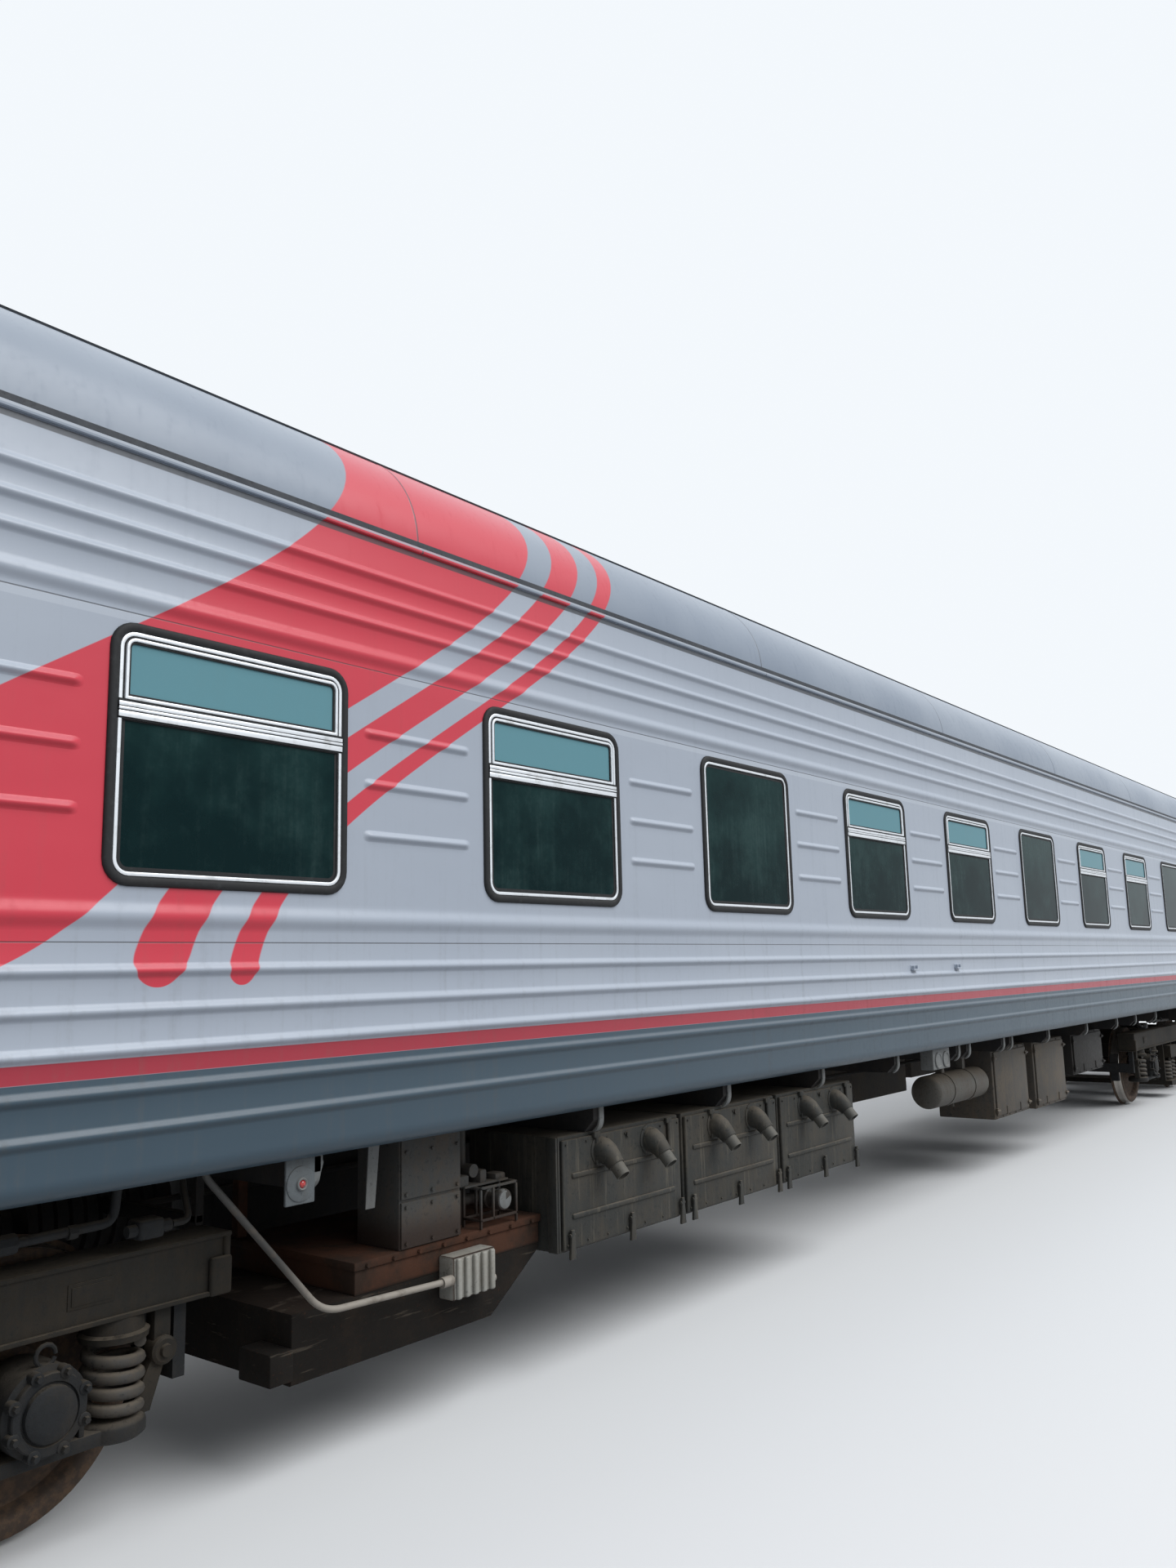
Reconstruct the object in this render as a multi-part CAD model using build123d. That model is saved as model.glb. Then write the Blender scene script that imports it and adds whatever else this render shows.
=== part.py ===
from build123d import *
from math import atan2, cos, degrees, radians, sin, sqrt
import os

# Open-plan sleeping coach with ribbed steel sides, on two two-axle bogies.
# Millimetres. +X runs along the coach, the near side (the one with the aisle) faces -Y, +Z is up.
# Heights are above the rail head. The finished parts are lifted by one flange depth,
# so that the flanges stand on the ground plane, with the origin midway along the coach.

os.makedirs("parts", exist_ok=True)

# Body shell
BODY_LENGTH = 23600.0
SIDE_Y = 1538.0
RIB_HEIGHT = 15.0
RIB_FLANK = 17.0
WALL = 88.0
END_WALL = 80.0
SKIRT_Z = 1206.0
SKIRT_CURVE = 73.0
GUTTER_Z = 3690.0
FLOOR_TOP = 1330.0
FLOOR_THICK = 60.0
SEAT_GAP = 0.3

END_X = BODY_LENGTH / 2
INNER_Y = SIDE_Y - WALL
FLOOR_Z = FLOOR_TOP - FLOOR_THICK

# Roof: a flat arc between two shoulder arcs
ROOF_CROWN = 4381.0
ROOF_Y = 1520.0
ROOF_THICK = ROOF_Y - INNER_Y
SHOULDER_R = 550.0
SHOULDER_Z = GUTTER_Z + 30.0
ROOF_RIB_WIDTH = 40.0
ROOF_RIB_HEIGHT = 11.0
ROOF_RIB_PITCH = 155.0
ROOF_RIBS = 13
GUTTER_OUT = 32.0
GUTTER_SHEET = 6.0
GUTTER_LIP = 22.0

SHOULDER_Y = ROOF_Y - SHOULDER_R
SHOULDER_RISE = ROOF_CROWN - SHOULDER_Z
ROOF_R = (SHOULDER_R**2 - SHOULDER_RISE**2 - SHOULDER_Y**2) / (2 * (SHOULDER_R - SHOULDER_RISE))
ROOF_CENTRE_Z = ROOF_CROWN - ROOF_R

# Long ribs pressed into the side sheet: height above the rail head, width
LONG_RIBS = [
    (1395.0, 56.0),
    (1523.0, 56.0),
    (1651.0, 56.0),
    (1779.0, 56.0),
    (1907.0, 56.0),
    (2087.0, 104.0),
    (3172.0, 88.0),
    (3311.0, 56.0),
    (3418.0, 56.0),
    (3526.0, 56.0),
]
# Short ribs between the windows: height above the rail head
SHORT_RIBS = [2427.0, 2638.0, 2846.0]
SHORT_RIB_LENGTH = 620.0
SHORT_RIB_WIDTH = 46.0

# Side doors, hinged at the edge nearer the middle of the coach, swinging in
DOOR_OPENING = 790.0
END_POST = 170.0
DOOR_JAMB_X = END_X - END_POST - DOOR_OPENING
DOOR_HEAD_Z = 3330.0
DOOR_THICK = 45.0
DOOR_EDGE_GAP = 8.0
DOOR_SILL_GAP = 10.0
KNUCKLE_R = 12.7
KNUCKLE_HEIGHT = 120.0
DOOR_PANE_WIDTH = 430.0
DOOR_PANE_HEIGHT = 760.0
DOOR_PANE_DROP = 180.0

# Partitions and berths
JAMB_TO_WALL = 60.0
LOBBY_LENGTH = 930.0
VESTIBULE_WALL_X = DOOR_JAMB_X - JAMB_TO_WALL
SALOON_WALL_X = VESTIBULE_WALL_X - LOBBY_LENGTH
PARTITION = 40.0
PARTITION_DOOR = 720.0
PARTITION_DOOR_HEIGHT = 1950.0
AISLE_DOOR_Y = -900.0
PARTITION_TOP = 3500.0
AISLE_EDGE_Y = -330.0
BERTH_WIDTH = 580.0
BERTH_THICK = 70.0
LOWER_BERTH_RISE = 450.0
UPPER_BERTH_RISE = 1430.0
LOWER_BERTH_Z = FLOOR_TOP + LOWER_BERTH_RISE
UPPER_BERTH_Z = FLOOR_TOP + UPPER_BERTH_RISE
AISLE_BERTH_WIDTH = 540.0
AISLE_BERTH_LENGTH = 1700.0
TABLE_RISE = 720.0
TABLE_Z = FLOOR_TOP + TABLE_RISE
TABLE_LENGTH = 600.0
TABLE_WIDTH = 520.0
TABLE_THICK = 30.0

# Windows
WINDOW_PITCH = 1795.0
WINDOW_SHIFT = 280.0
WINDOW_WIDTH = 1015.0
WINDOW_HEIGHT = 900.0
WINDOW_BOTTOM = 2183.0
WINDOW_R = 92.0
FRAME_BORDER = 46.0
FRAME_LAP = 28.0
FRAME_PROUD = 14.0
TRANSOM_DROP = 300.0
TRANSOM_WIDTH = 44.0
PANE_THICK = 8.0
# Every third window is a single fixed pane, the others have a sash with a transom
FIXED_EVERY = 3
END_WINDOW_INSET = 530.0
END_WINDOW_WIDTH = 640.0
END_WINDOW_HEIGHT = 560.0
CORNER_SHARE = 0.7
END_WINDOW_X = VESTIBULE_WALL_X - END_WINDOW_INSET
WINDOWS_EACH_WAY = int((SALOON_WALL_X - WINDOW_SHIFT - WINDOW_WIDTH / 2) / WINDOW_PITCH)

# End doors and gangways
END_DOOR_OPENING = 800.0
END_DOOR_HEAD_Z = 3300.0
GANGWAY_WIDTH = 1500.0
GANGWAY_HEAD_Z = 3640.0
GANGWAY_TUBE = 230.0
GANGWAY_REACH = 330.0
GANGWAY_R = 240.0
FOOTPLATE_THICK = 36.0

# Underframe
SILL_WIDTH = 70.0
BEARER_WIDTH = 70.0
BEARER_BOTTOM = 1080.0
BEARER_CUT = 60.0
BEARER_Y = 1420.0
BEARERS = [
    -6450.0,
    -4690.0,
    -3490.0,
    -2330.0,
    -1160.0,
    20.0,
    250.0,
    1060.0,
    1270.0,
    2300.0,
    3550.0,
    4700.0,
    5500.0,
    6450.0,
]
SILL_END_GAP = 20.0
BODY_BOLSTER_Z = 1000.0
BODY_BOLSTER_LENGTH = 420.0
JACKING_PAD = 160.0
JACKING_PAD_Y = 1280.0
JACKING_PAD_THICK = 20.0
DRAFT_SILL_WIDTH = 420.0
COUPLING_REACH = 470.0
COUPLING_LINE = END_X + COUPLING_REACH
SHANK_LENGTH = 970.0
DRAFT_SILL_END = COUPLING_LINE - SHANK_LENGTH
COUPLER_Z = 1060.0
COUPLER_SHANK = 160.0
COUPLER_HEIGHT = 300.0
# Coupler head in plan: distance beyond the coupling line, distance to the far side
COUPLER_HEAD = [
    (-300.0, 80.0),
    (-200.0, 200.0),
    (40.0, 245.0),
    (130.0, 205.0),
    (115.0, 120.0),
    (10.0, 75.0),
    (-75.0, 35.0),
    (-80.0, -60.0),
    (-5.0, -105.0),
    (45.0, -165.0),
    (-10.0, -235.0),
    (-190.0, -200.0),
    (-300.0, -80.0),
]
BUFFER_BEAM_THICK = 80.0
BUFFER_BEAM_GAP = 130.0
BUFFER_BEAM_BOTTOM = 1020.0
BUFFER_PLATE_THICK = 40.0
BUFFER_Y = 800.0
BUFFER_Z = 1110.0
BUFFER_PLATE_R = 170.0
BUFFER_STEM_R = 70.0
BUFFER_REACH = 400.0

# Steps and rails at the side doors
STEP_BACK_Y = 1150.0
STEP_INSET = 40.0
STEP_CHEEK = 12.0
STEP_BOTTOM = 440.0
STEP_COUNT = 3
STEP_TREAD = 30.0
RAIL_BAR = 26.0
RAIL_STANDOFF = 62.0
RAIL_LOW = 1450.0
RAIL_HIGH = 2900.0
RAIL_OFFSET = 60.0

# Battery boxes on the near side
BATTERY_FIRST = -4930.0
BATTERY_PITCH = 1055.0
BATTERY_COUNT = 3
BATTERY_WIDTH = 1020.0
BATTERY_FRONT_Y = 1380.0
BATTERY_DEPTH = 620.0
BATTERY_BOTTOM = 540.0
BATTERY_SWAGES = [688.0, 877.0]
SWAGE_OUT = 12.0
SWAGE_WIDTH = 26.0
SWAGE_INSET = 61.0
VENT_SHARES = [0.30, 0.705]
VENT_R = 40.0
VENT_LENGTH = 230.0
VENT_SLOPE = 40.0
VENT_Z = 1018.0
LATCH_SHARES = [0.045, 0.52, 0.965]
LATCH_WIDTH = 22.0
LATCH_LOW = 512.0
LATCH_HIGH = 640.0

# Heater trough, its duct, conduit and valve on the near side
TROUGH_LEFT = -6400.0
TROUGH_KNEE = -5290.0
TROUGH_RIGHT = -4960.0
TROUGH_BOX_LEFT = -6090.0
TROUGH_FRONT_Y = 1250.0
TROUGH_BACK_Y = -400.0
TROUGH_BOTTOM = 330.0
TROUGH_SLOPE_TOP = 560.0
TROUGH_SHOULDER = 590.0
TROUGH_LID = 700.0
TROUGH_BLOCK = 210.0
TROUGH_BLOCK_Y = -1145.0
TROUGH_BLOCK_BOTTOM = 288.0
TROUGH_BLOCK_HEIGHT = 189.0
LID_LAP = 20.0
LID_THICK = 20.0
HANGER = 50.0
DUCT_X = -5860.0
DUCT_WIDTH = 365.0
DUCT_DEPTH = 260.0
CONDUIT_R = 17.0
CONDUIT_BEND = 110.0
CONDUIT_ROUTE = [
    (-6840.0, -1330.0, FLOOR_Z - SEAT_GAP),
    (-6840.0, -1330.0, 1100.0),
    (-6330.0, -1330.0, 601.0),
    (-5620.0, -1330.0, 575.0),
]
CONNECTOR = (260.0, 110.0, 178.0)
CONNECTOR_DROP = 96.0
CAGE_X = -5453.0
CAGE = (345.0, 200.0, 180.0)
CAGE_BAR = 14.0
VALVE_R = 50.0
VALVE_SHARE = 0.72
STEM_SHARE = 0.36
LAMP_Y = 1450.0
LAMP_PLATE = (140.0, 20.0, 175.0)
LAMP_PLACES = [-6590.0, -220.0]
LENS_R = 24.0

# Reservoirs: from x, to x, y, z, radius
RESERVOIRS = [
    (100.0, 1270.0, -1080.0, 800.0, 135.0),
    (-1500.0, 300.0, 1080.0, 820.0, 160.0),
]
STRAP = 60.0
STRAP_SHARES = [0.3, 0.7]
# Cabinets: x, width, front |y|, depth, bottom
NEAR_CABINETS = [
    (1300.0, 900.0, 1220.0, 520.0, 460.0),
    (2420.0, 940.0, 1220.0, 520.0, 440.0),
    (3800.0, 1100.0, 1180.0, 600.0, 640.0),
]
FAR_CABINETS = [
    (-5250.0, 1500.0, 1380.0, 620.0, 500.0),
    (-3500.0, 1500.0, 1380.0, 620.0, 500.0),
    (1200.0, 1900.0, 1300.0, 900.0, 480.0),
    (3700.0, 1300.0, 1300.0, 700.0, 560.0),
]
CABINET_RIM = 30.0
CABINET_DOOR = 16.0
ROOF_VENT_PITCH = 5150.0
ROOF_VENTS_EACH_WAY = int((END_X - END_POST) / ROOF_VENT_PITCH)
VENT_STEM_R = 90.0
VENT_STEM = 70.0
VENT_CAP_R = 180.0
VENT_CAP = 45.0

# Bogies
PIVOT_X = 8500.0
WHEELBASE = 2400.0
WHEEL_R = 478.5
WHEEL_FACETS = 24
WEB_FACETS = 14
FLANGE_DEPTH = 28.0
JOURNAL_Y = 1018.0
BEAM_WIDTH = 204.0
BEAM_BOTTOM = 700.0
BEAM_TOP = 920.0
BOGIE_HALF = 1915.0
SPRING_OFFSET = 300.0
SPRING_R = 110.0
SPRING_BOTTOM = 360.0
SPRING_TOP = 620.0
CUP_R = 122.0
CUP_BOTTOM = 295.0
AXLE_R = 80.0
BEARING_CLEARANCE = 0.05
TREAD_WIDTH = 102.0
FLANGE_THICK = 28.0
WHEEL_BACK_Y = 720.0
RIM_R = 410.0
DISH = 40.0
BORE_FACETS = 12
TRANSOM_X = 450.0
TRANSOM_WIDTH_X = 200.0
BOLSTER_WIDTH = 340.0
BOLSTER_END = 1130.0
BOLSTER_LOW = 500.0
BOLSTER_END_TOP = 660.0
BOLSTER_STEP = 870.0
BOLSTER_RAMP = 120.0
BOLSTER_TOP = 900.0
BOWL_R = 200.0
BEARER_PAD = 130.0
SIDE_BEARER_Y = 640.0
BOLSTER_SPRING_X = 110.0
BOLSTER_SPRING_R = 95.0
PLANK_TOP = 200.0
PLANK_THICK = 60.0
PLANK_WIDTH = 500.0
LINK = 34.0
BOX_R = 148.0
BOX_BACK_Y = 900.0
BOX_BORE_Y = 1080.0
BOX_COVER_Y = 1200.0
AXLE_END_GAP = 10.0
SHOE_GAP = 12.0
SHOE_THICK = 55.0
SHOE_WIDTH = 85.0
SHOE_HEIGHT = 330.0
BRAKE_BEAM = 110.0
BRAKE_BEAM_INSET = 33.0
BRAKE_HANGER = 50.0


def save(name, *shapes):
    """Write one node as a STEP file."""
    lift = Pos(0, 0, FLANGE_DEPTH)
    solids = [lift * solid for shape in shapes for solid in shape.solids()]
    export_step(Compound(children=solids), f"parts/{name}.step")


def block(x0, x1, y0, y1, z0, z1):
    """A box from its low and high corners."""
    size = (abs(x1 - x0), abs(y1 - y0), abs(z1 - z0))
    return Pos((x0 + x1) / 2, (y0 + y1) / 2, (z0 + z1) / 2) * Box(*size)


def side_prism(face, x, z, y_near, y_far):
    """A face drawn as seen from the near side, made solid from y_near to y_far."""
    plane = Plane(origin=(x, y_far, z), x_dir=(1, 0, 0), z_dir=(0, -1, 0))
    return extrude(plane * face, y_far - y_near)


def along(face, x0, x1):
    """A face drawn on the YZ plane, made solid from x0 to x1."""
    return extrude(Plane.YZ.offset(x0) * face, x1 - x0)


def mirrored(shape, plane):
    """The shape and its mirror image."""
    return [shape, mirror(shape, plane)]


def other_side(shapes):
    """The shapes with their images on the other side of the coach."""
    return [copy for shape in shapes for copy in mirrored(shape, Plane.XZ)]


def other_end(shapes):
    """The shapes with their images at the other end of the coach."""
    return [copy for shape in shapes for copy in mirrored(shape, Plane.YZ)]


def cut_rectangle(width, height, radius):
    """A rectangle whose corners are cut near a rounding of the given radius."""
    sheet = Rectangle(width, height)
    return chamfer(sheet.vertices(), radius * CORNER_SHARE)


def window_centres():
    """X of each large window."""
    steps = range(-WINDOWS_EACH_WAY, WINDOWS_EACH_WAY + 1)
    return [WINDOW_SHIFT + WINDOW_PITCH * step for step in steps]


def windows():
    """Every window of one side as x, centre z, width, height and whether it has a sash."""
    rows = []
    for index, x in enumerate(window_centres()):
        sash = index % FIXED_EVERY != 0
        rows.append((x, WINDOW_BOTTOM + WINDOW_HEIGHT / 2, WINDOW_WIDTH, WINDOW_HEIGHT, sash))
    top = WINDOW_BOTTOM + WINDOW_HEIGHT
    for x in (-END_WINDOW_X, END_WINDOW_X):
        rows.append((x, top - END_WINDOW_HEIGHT / 2, END_WINDOW_WIDTH, END_WINDOW_HEIGHT, False))
    return rows


def short_rib():
    """A pressed rib with sloping ends, its foot on the sheet."""
    slope = degrees(atan2(RIB_FLANK, RIB_HEIGHT))
    return extrude(Rectangle(SHORT_RIB_LENGTH, SHORT_RIB_WIDTH), RIB_HEIGHT, taper=slope)


def wall_profile():
    """Section of the far side wall on YZ, with the long ribs and the skirt's curve."""
    bend_y = SIDE_Y - SKIRT_CURVE
    bend_z = SKIRT_Z + SKIRT_CURVE
    middle = SKIRT_CURVE * (1 - sqrt(0.5))
    points = [(SIDE_Y, bend_z)]
    for height, width in LONG_RIBS:
        centre = height
        crest = width / 2 - RIB_FLANK
        points += [
            (SIDE_Y, centre - width / 2),
            (SIDE_Y + RIB_HEIGHT, centre - crest),
            (SIDE_Y + RIB_HEIGHT, centre + crest),
            (SIDE_Y, centre + width / 2),
        ]
    points += [(SIDE_Y, GUTTER_Z), (INNER_Y, GUTTER_Z), (INNER_Y, SKIRT_Z), (bend_y, SKIRT_Z)]
    skirt = ThreePointArc((bend_y, SKIRT_Z), (SIDE_Y - middle, SKIRT_Z + middle), (SIDE_Y, bend_z))
    return make_face(Wire([*Polyline(*points).edges(), skirt]))


def far_wall():
    """The whole far side wall with its windows and doorways cut."""
    wall = along(wall_profile(), -END_X, END_X)
    holes = []
    for x, z, width, height, sash in windows():
        half_width = width / 2 - FRAME_LAP
        half_height = height / 2 - FRAME_LAP
        low = z - half_height
        high = z + half_height
        holes.append(block(x - half_width, x + half_width, INNER_Y - WALL, SIDE_Y + WALL, low, high))
    jamb = DOOR_JAMB_X
    for start in (jamb, -jamb - DOOR_OPENING):
        holes.append(
            block(start, start + DOOR_OPENING, INNER_Y - WALL, SIDE_Y + WALL, SKIRT_Z - WALL, DOOR_HEAD_Z)
        )
    wall -= holes
    rib = Plane(origin=(0, 0, 0), x_dir=(1, 0, 0), z_dir=(0, 1, 0)) * short_rib()
    ribs = []
    for x in window_centres()[:-1]:
        for height in SHORT_RIBS:
            ribs.append(Pos(x + WINDOW_PITCH / 2, SIDE_Y, height) * rib)
    return wall + ribs


def window_frame(x, z, width, height, sash):
    """A gasket ring lapped over the sheet of the far side, with a transom under a sash."""
    ring = cut_rectangle(width, height, WINDOW_R)
    ring -= Rectangle(width - 2 * FRAME_BORDER, height - 2 * FRAME_BORDER)
    if sash:
        ring += Pos(0, height / 2 - TRANSOM_DROP) * Rectangle(width - FRAME_BORDER, TRANSOM_WIDTH)
    return side_prism(ring, x, z, SIDE_Y, SIDE_Y + FRAME_PROUD)


def window_pane(x, z, width, height):
    """The glass behind one ring, inside the cut in the sheet."""
    half_width = width / 2 - (FRAME_BORDER + FRAME_LAP) / 2
    half_height = height / 2 - (FRAME_BORDER + FRAME_LAP) / 2
    return block(x - half_width, x + half_width, SIDE_Y - PANE_THICK, SIDE_Y, z - half_height, z + half_height)


def roof_line(inset, bottom):
    """The space under a line that lies a given distance inside the roof's outer surface."""
    turn = atan2(SHOULDER_Z - ROOF_CENTRE_Z, SHOULDER_Y)
    small = SHOULDER_R - inset
    edge = ROOF_Y - inset
    joint = (SHOULDER_Y + small * cos(turn), SHOULDER_Z + small * sin(turn))
    middle = (SHOULDER_Y + small * cos(turn / 2), SHOULDER_Z + small * sin(turn / 2))
    half = [
        Line((edge, bottom), (edge, SHOULDER_Z)),
        ThreePointArc((edge, SHOULDER_Z), middle, joint),
    ]
    top = ThreePointArc(joint, (0, ROOF_CROWN - inset), (-joint[0], joint[1]))
    left = mirror(Curve() + half, Plane.YZ).edges()
    floor = Line((edge, bottom), (-edge, bottom))
    return make_face(Wire([*half, top, *left, floor]))


def roof_ribs():
    """Sections of the roof's lengthwise ribs: flat bars half sunk in the sheet."""
    bar = Rectangle(ROOF_RIB_WIDTH, 2 * ROOF_RIB_HEIGHT)
    ribs = []
    for index in range(ROOF_RIBS):
        turn = (index - (ROOF_RIBS - 1) / 2) * ROOF_RIB_PITCH / ROOF_R
        place = Pos(ROOF_R * sin(turn), ROOF_CENTRE_Z + ROOF_R * cos(turn))
        ribs.append(place * Rot(0, 0, -degrees(turn)) * bar)
    return ribs


def roof():
    """Roof shell with its lengthwise ribs and a gutter along each edge."""
    section = roof_line(0, GUTTER_Z)
    section += roof_ribs()
    section -= roof_line(ROOF_THICK, GUTTER_Z - ROOF_THICK)
    for side in (-1, 1):
        middle = side * (ROOF_Y + (GUTTER_OUT - GUTTER_SHEET) / 2)
        shelf = Rectangle(GUTTER_OUT + GUTTER_SHEET, GUTTER_SHEET)
        section += Pos(middle, GUTTER_Z + GUTTER_SHEET / 2) * shelf
        lip = side * (ROOF_Y + GUTTER_OUT - GUTTER_SHEET / 2)
        section += Pos(lip, GUTTER_Z + GUTTER_LIP / 2) * Rectangle(GUTTER_SHEET, GUTTER_LIP)
    return along(section, -END_X, END_X)


def end_wall():
    """End wall at +X with its gangway doorway."""
    outline = roof_line(ROOF_THICK + SEAT_GAP, SKIRT_Z)
    wall = along(outline, END_X - END_WALL, END_X)
    half = END_DOOR_OPENING / 2
    return wall - block(END_X - 2 * END_WALL, END_X + END_WALL, -half, half, FLOOR_TOP, END_DOOR_HEAD_Z)


def knuckles(x, y, z0, z1):
    """Two hinge knuckles on a vertical axis, near the ends of a leaf."""
    rise = (z1 - z0) / 6
    bar = extrude(RegularPolygon(KNUCKLE_R, 8), KNUCKLE_HEIGHT)
    return [Pos(x, y, z0 + rise) * bar, Pos(x, y, z1 - rise - KNUCKLE_HEIGHT) * bar]


def side_door():
    """Leaf and pane of the far side door at +X."""
    axis_x = DOOR_JAMB_X + KNUCKLE_R + SEAT_GAP
    end = DOOR_JAMB_X + DOOR_OPENING - DOOR_EDGE_GAP
    z0 = FLOOR_TOP + DOOR_SILL_GAP
    z1 = DOOR_HEAD_Z - DOOR_SILL_GAP
    leaf = block(axis_x, end, INNER_Y, INNER_Y + DOOR_THICK, z0, z1)
    leaf += knuckles(axis_x, INNER_Y, z0, z1)
    middle = (axis_x + end) / 2
    top = z1 - DOOR_PANE_DROP
    half = DOOR_PANE_WIDTH / 2
    bottom = top - DOOR_PANE_HEIGHT
    leaf -= block(middle - half, middle + half, INNER_Y - DOOR_THICK, INNER_Y + 2 * DOOR_THICK, bottom, top)
    glass_y = INNER_Y + DOOR_THICK / 2
    pane = block(middle - half, middle + half, glass_y, glass_y + PANE_THICK, bottom, top)
    return leaf, pane


def end_door():
    """Leaf and pane of the gangway door at +X, hinged on the far side."""
    x0 = END_X - END_WALL
    axis_y = END_DOOR_OPENING / 2 - KNUCKLE_R - SEAT_GAP
    end = -END_DOOR_OPENING / 2 + DOOR_EDGE_GAP
    z0 = FLOOR_TOP + DOOR_SILL_GAP
    z1 = END_DOOR_HEAD_Z - DOOR_SILL_GAP
    leaf = block(x0, x0 + DOOR_THICK, end, axis_y, z0, z1)
    leaf += knuckles(x0, axis_y, z0, z1)
    middle = (axis_y + end) / 2
    top = z1 - DOOR_PANE_DROP
    half = DOOR_PANE_WIDTH / 2
    bottom = top - DOOR_PANE_HEIGHT
    leaf -= block(x0 - DOOR_THICK, x0 + 2 * DOOR_THICK, middle - half, middle + half, bottom, top)
    glass_x = x0 + DOOR_THICK / 2
    pane = block(glass_x, glass_x + PANE_THICK, middle - half, middle + half, bottom, top)
    return leaf, pane


def gangway():
    """Rubber surround and foot plate of the passage at +X."""
    foot = FLOOR_TOP - FOOTPLATE_THICK
    height = GANGWAY_HEAD_Z - foot
    middle = foot + height / 2
    inner_width = GANGWAY_WIDTH - 2 * GANGWAY_TUBE
    surround = Pos(0, middle) * Rectangle(GANGWAY_WIDTH, height)
    surround = fillet(surround.vertices().group_by(Axis.Y)[-1], GANGWAY_R)
    inner = Pos(0, middle - GANGWAY_TUBE / 2) * Rectangle(inner_width, height - GANGWAY_TUBE)
    ring = along(surround - inner, END_X, END_X + GANGWAY_REACH)
    half = inner_width / 2
    return ring + block(END_X, END_X + GANGWAY_REACH, -half, half, foot, FLOOR_TOP)


def partition_places():
    """X of each partition between two sleeping bays."""
    return [x + WINDOW_PITCH / 2 for x in window_centres()[:-1]]


def partitions():
    """Walls across the coach: between the bays, and with a doorway at each end."""
    top_y = INNER_Y - SEAT_GAP
    half = PARTITION / 2
    walls = [
        block(x - half, x + half, AISLE_EDGE_Y, top_y, FLOOR_TOP, PARTITION_TOP) for x in partition_places()
    ]
    for x in (VESTIBULE_WALL_X, SALOON_WALL_X):
        for place in (-x, x):
            wall = block(place - half, place + half, -top_y, top_y, FLOOR_TOP, PARTITION_TOP)
            door = block(
                place - PARTITION,
                place + PARTITION,
                AISLE_DOOR_Y,
                AISLE_DOOR_Y + PARTITION_DOOR,
                FLOOR_TOP,
                FLOOR_TOP + PARTITION_DOOR_HEIGHT,
            )
            walls.append(wall - door)
    return walls


def bays():
    """Middle of each sleeping bay."""
    places = partition_places()
    return [(left + right) / 2 for left, right in zip(places, places[1:])]


def berths():
    """Lower and upper berths across each bay and along the aisle."""
    result = []
    reach = WINDOW_PITCH / 2 - PARTITION / 2
    wall_y = INNER_Y - SEAT_GAP
    for x in bays():
        for z in (LOWER_BERTH_Z, UPPER_BERTH_Z):
            for start in (x - reach, x + reach - BERTH_WIDTH):
                result.append(
                    block(start, start + BERTH_WIDTH, AISLE_EDGE_Y, wall_y, z - BERTH_THICK, z)
                )
            half = AISLE_BERTH_LENGTH / 2
            result.append(block(x - half, x + half, -wall_y, AISLE_BERTH_WIDTH - wall_y, z - BERTH_THICK, z))
    return result


def tables():
    """Window tables of the bays."""
    half = TABLE_WIDTH / 2
    wall_y = INNER_Y - SEAT_GAP
    return [
        block(x - half, x + half, wall_y - TABLE_LENGTH, wall_y, TABLE_Z - TABLE_THICK, TABLE_Z)
        for x in bays()
    ]


def cross_bearer(x):
    """A floor bearer whose ends reach under the side sills."""
    sill_y = INNER_Y - SILL_WIDTH - SEAT_GAP
    right = [
        (BEARER_Y - BEARER_CUT, BEARER_BOTTOM),
        (BEARER_Y, BEARER_BOTTOM + BEARER_CUT),
        (BEARER_Y, SKIRT_Z - SEAT_GAP),
        (sill_y, SKIRT_Z - SEAT_GAP),
        (sill_y, FLOOR_Z),
    ]
    left = [(-y, z) for y, z in reversed(right)]
    outline = make_face(Polyline(*right, *left, close=True))
    return along(outline, x - BEARER_WIDTH / 2, x + BEARER_WIDTH / 2)


def draft_sill():
    """Body bolster over the +X bogie, its jacking pads and the centre sill out to the coupler."""
    sill_y = INNER_Y - SILL_WIDTH - SEAT_GAP
    half_length = BODY_BOLSTER_LENGTH / 2
    bolster = block(PIVOT_X - half_length, PIVOT_X + half_length, -sill_y, sill_y, BODY_BOLSTER_Z, FLOOR_Z)
    half = DRAFT_SILL_WIDTH / 2
    sill = block(PIVOT_X, DRAFT_SILL_END, -half, half, BODY_BOLSTER_Z, FLOOR_Z)
    pad = Pos(PIVOT_X, JACKING_PAD_Y, BODY_BOLSTER_Z - JACKING_PAD_THICK / 2)
    pad *= Box(JACKING_PAD, JACKING_PAD, JACKING_PAD_THICK)
    return bolster + [sill, *other_side([pad])]


def buffer_beam():
    """One half of the beam under the +X end wall."""
    sill_y = INNER_Y - SILL_WIDTH - SEAT_GAP
    x1 = END_X - END_WALL - SEAT_GAP
    return block(x1 - BUFFER_BEAM_THICK, x1, BUFFER_BEAM_GAP, sill_y, BUFFER_BEAM_BOTTOM, FLOOR_Z)


def buffer_body():
    """One buffer at +X: stem and round plate."""
    x0 = END_X - END_WALL
    lying = Rot(0, 90, 0)
    stem = Pos(x0, BUFFER_Y, BUFFER_Z) * lying * extrude(RegularPolygon(BUFFER_STEM_R, 8), BUFFER_REACH)
    plate = extrude(RegularPolygon(BUFFER_PLATE_R, 12), BUFFER_PLATE_THICK)
    plate = Pos(x0 + BUFFER_REACH, BUFFER_Y, BUFFER_Z) * lying * plate
    return stem + plate


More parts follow.
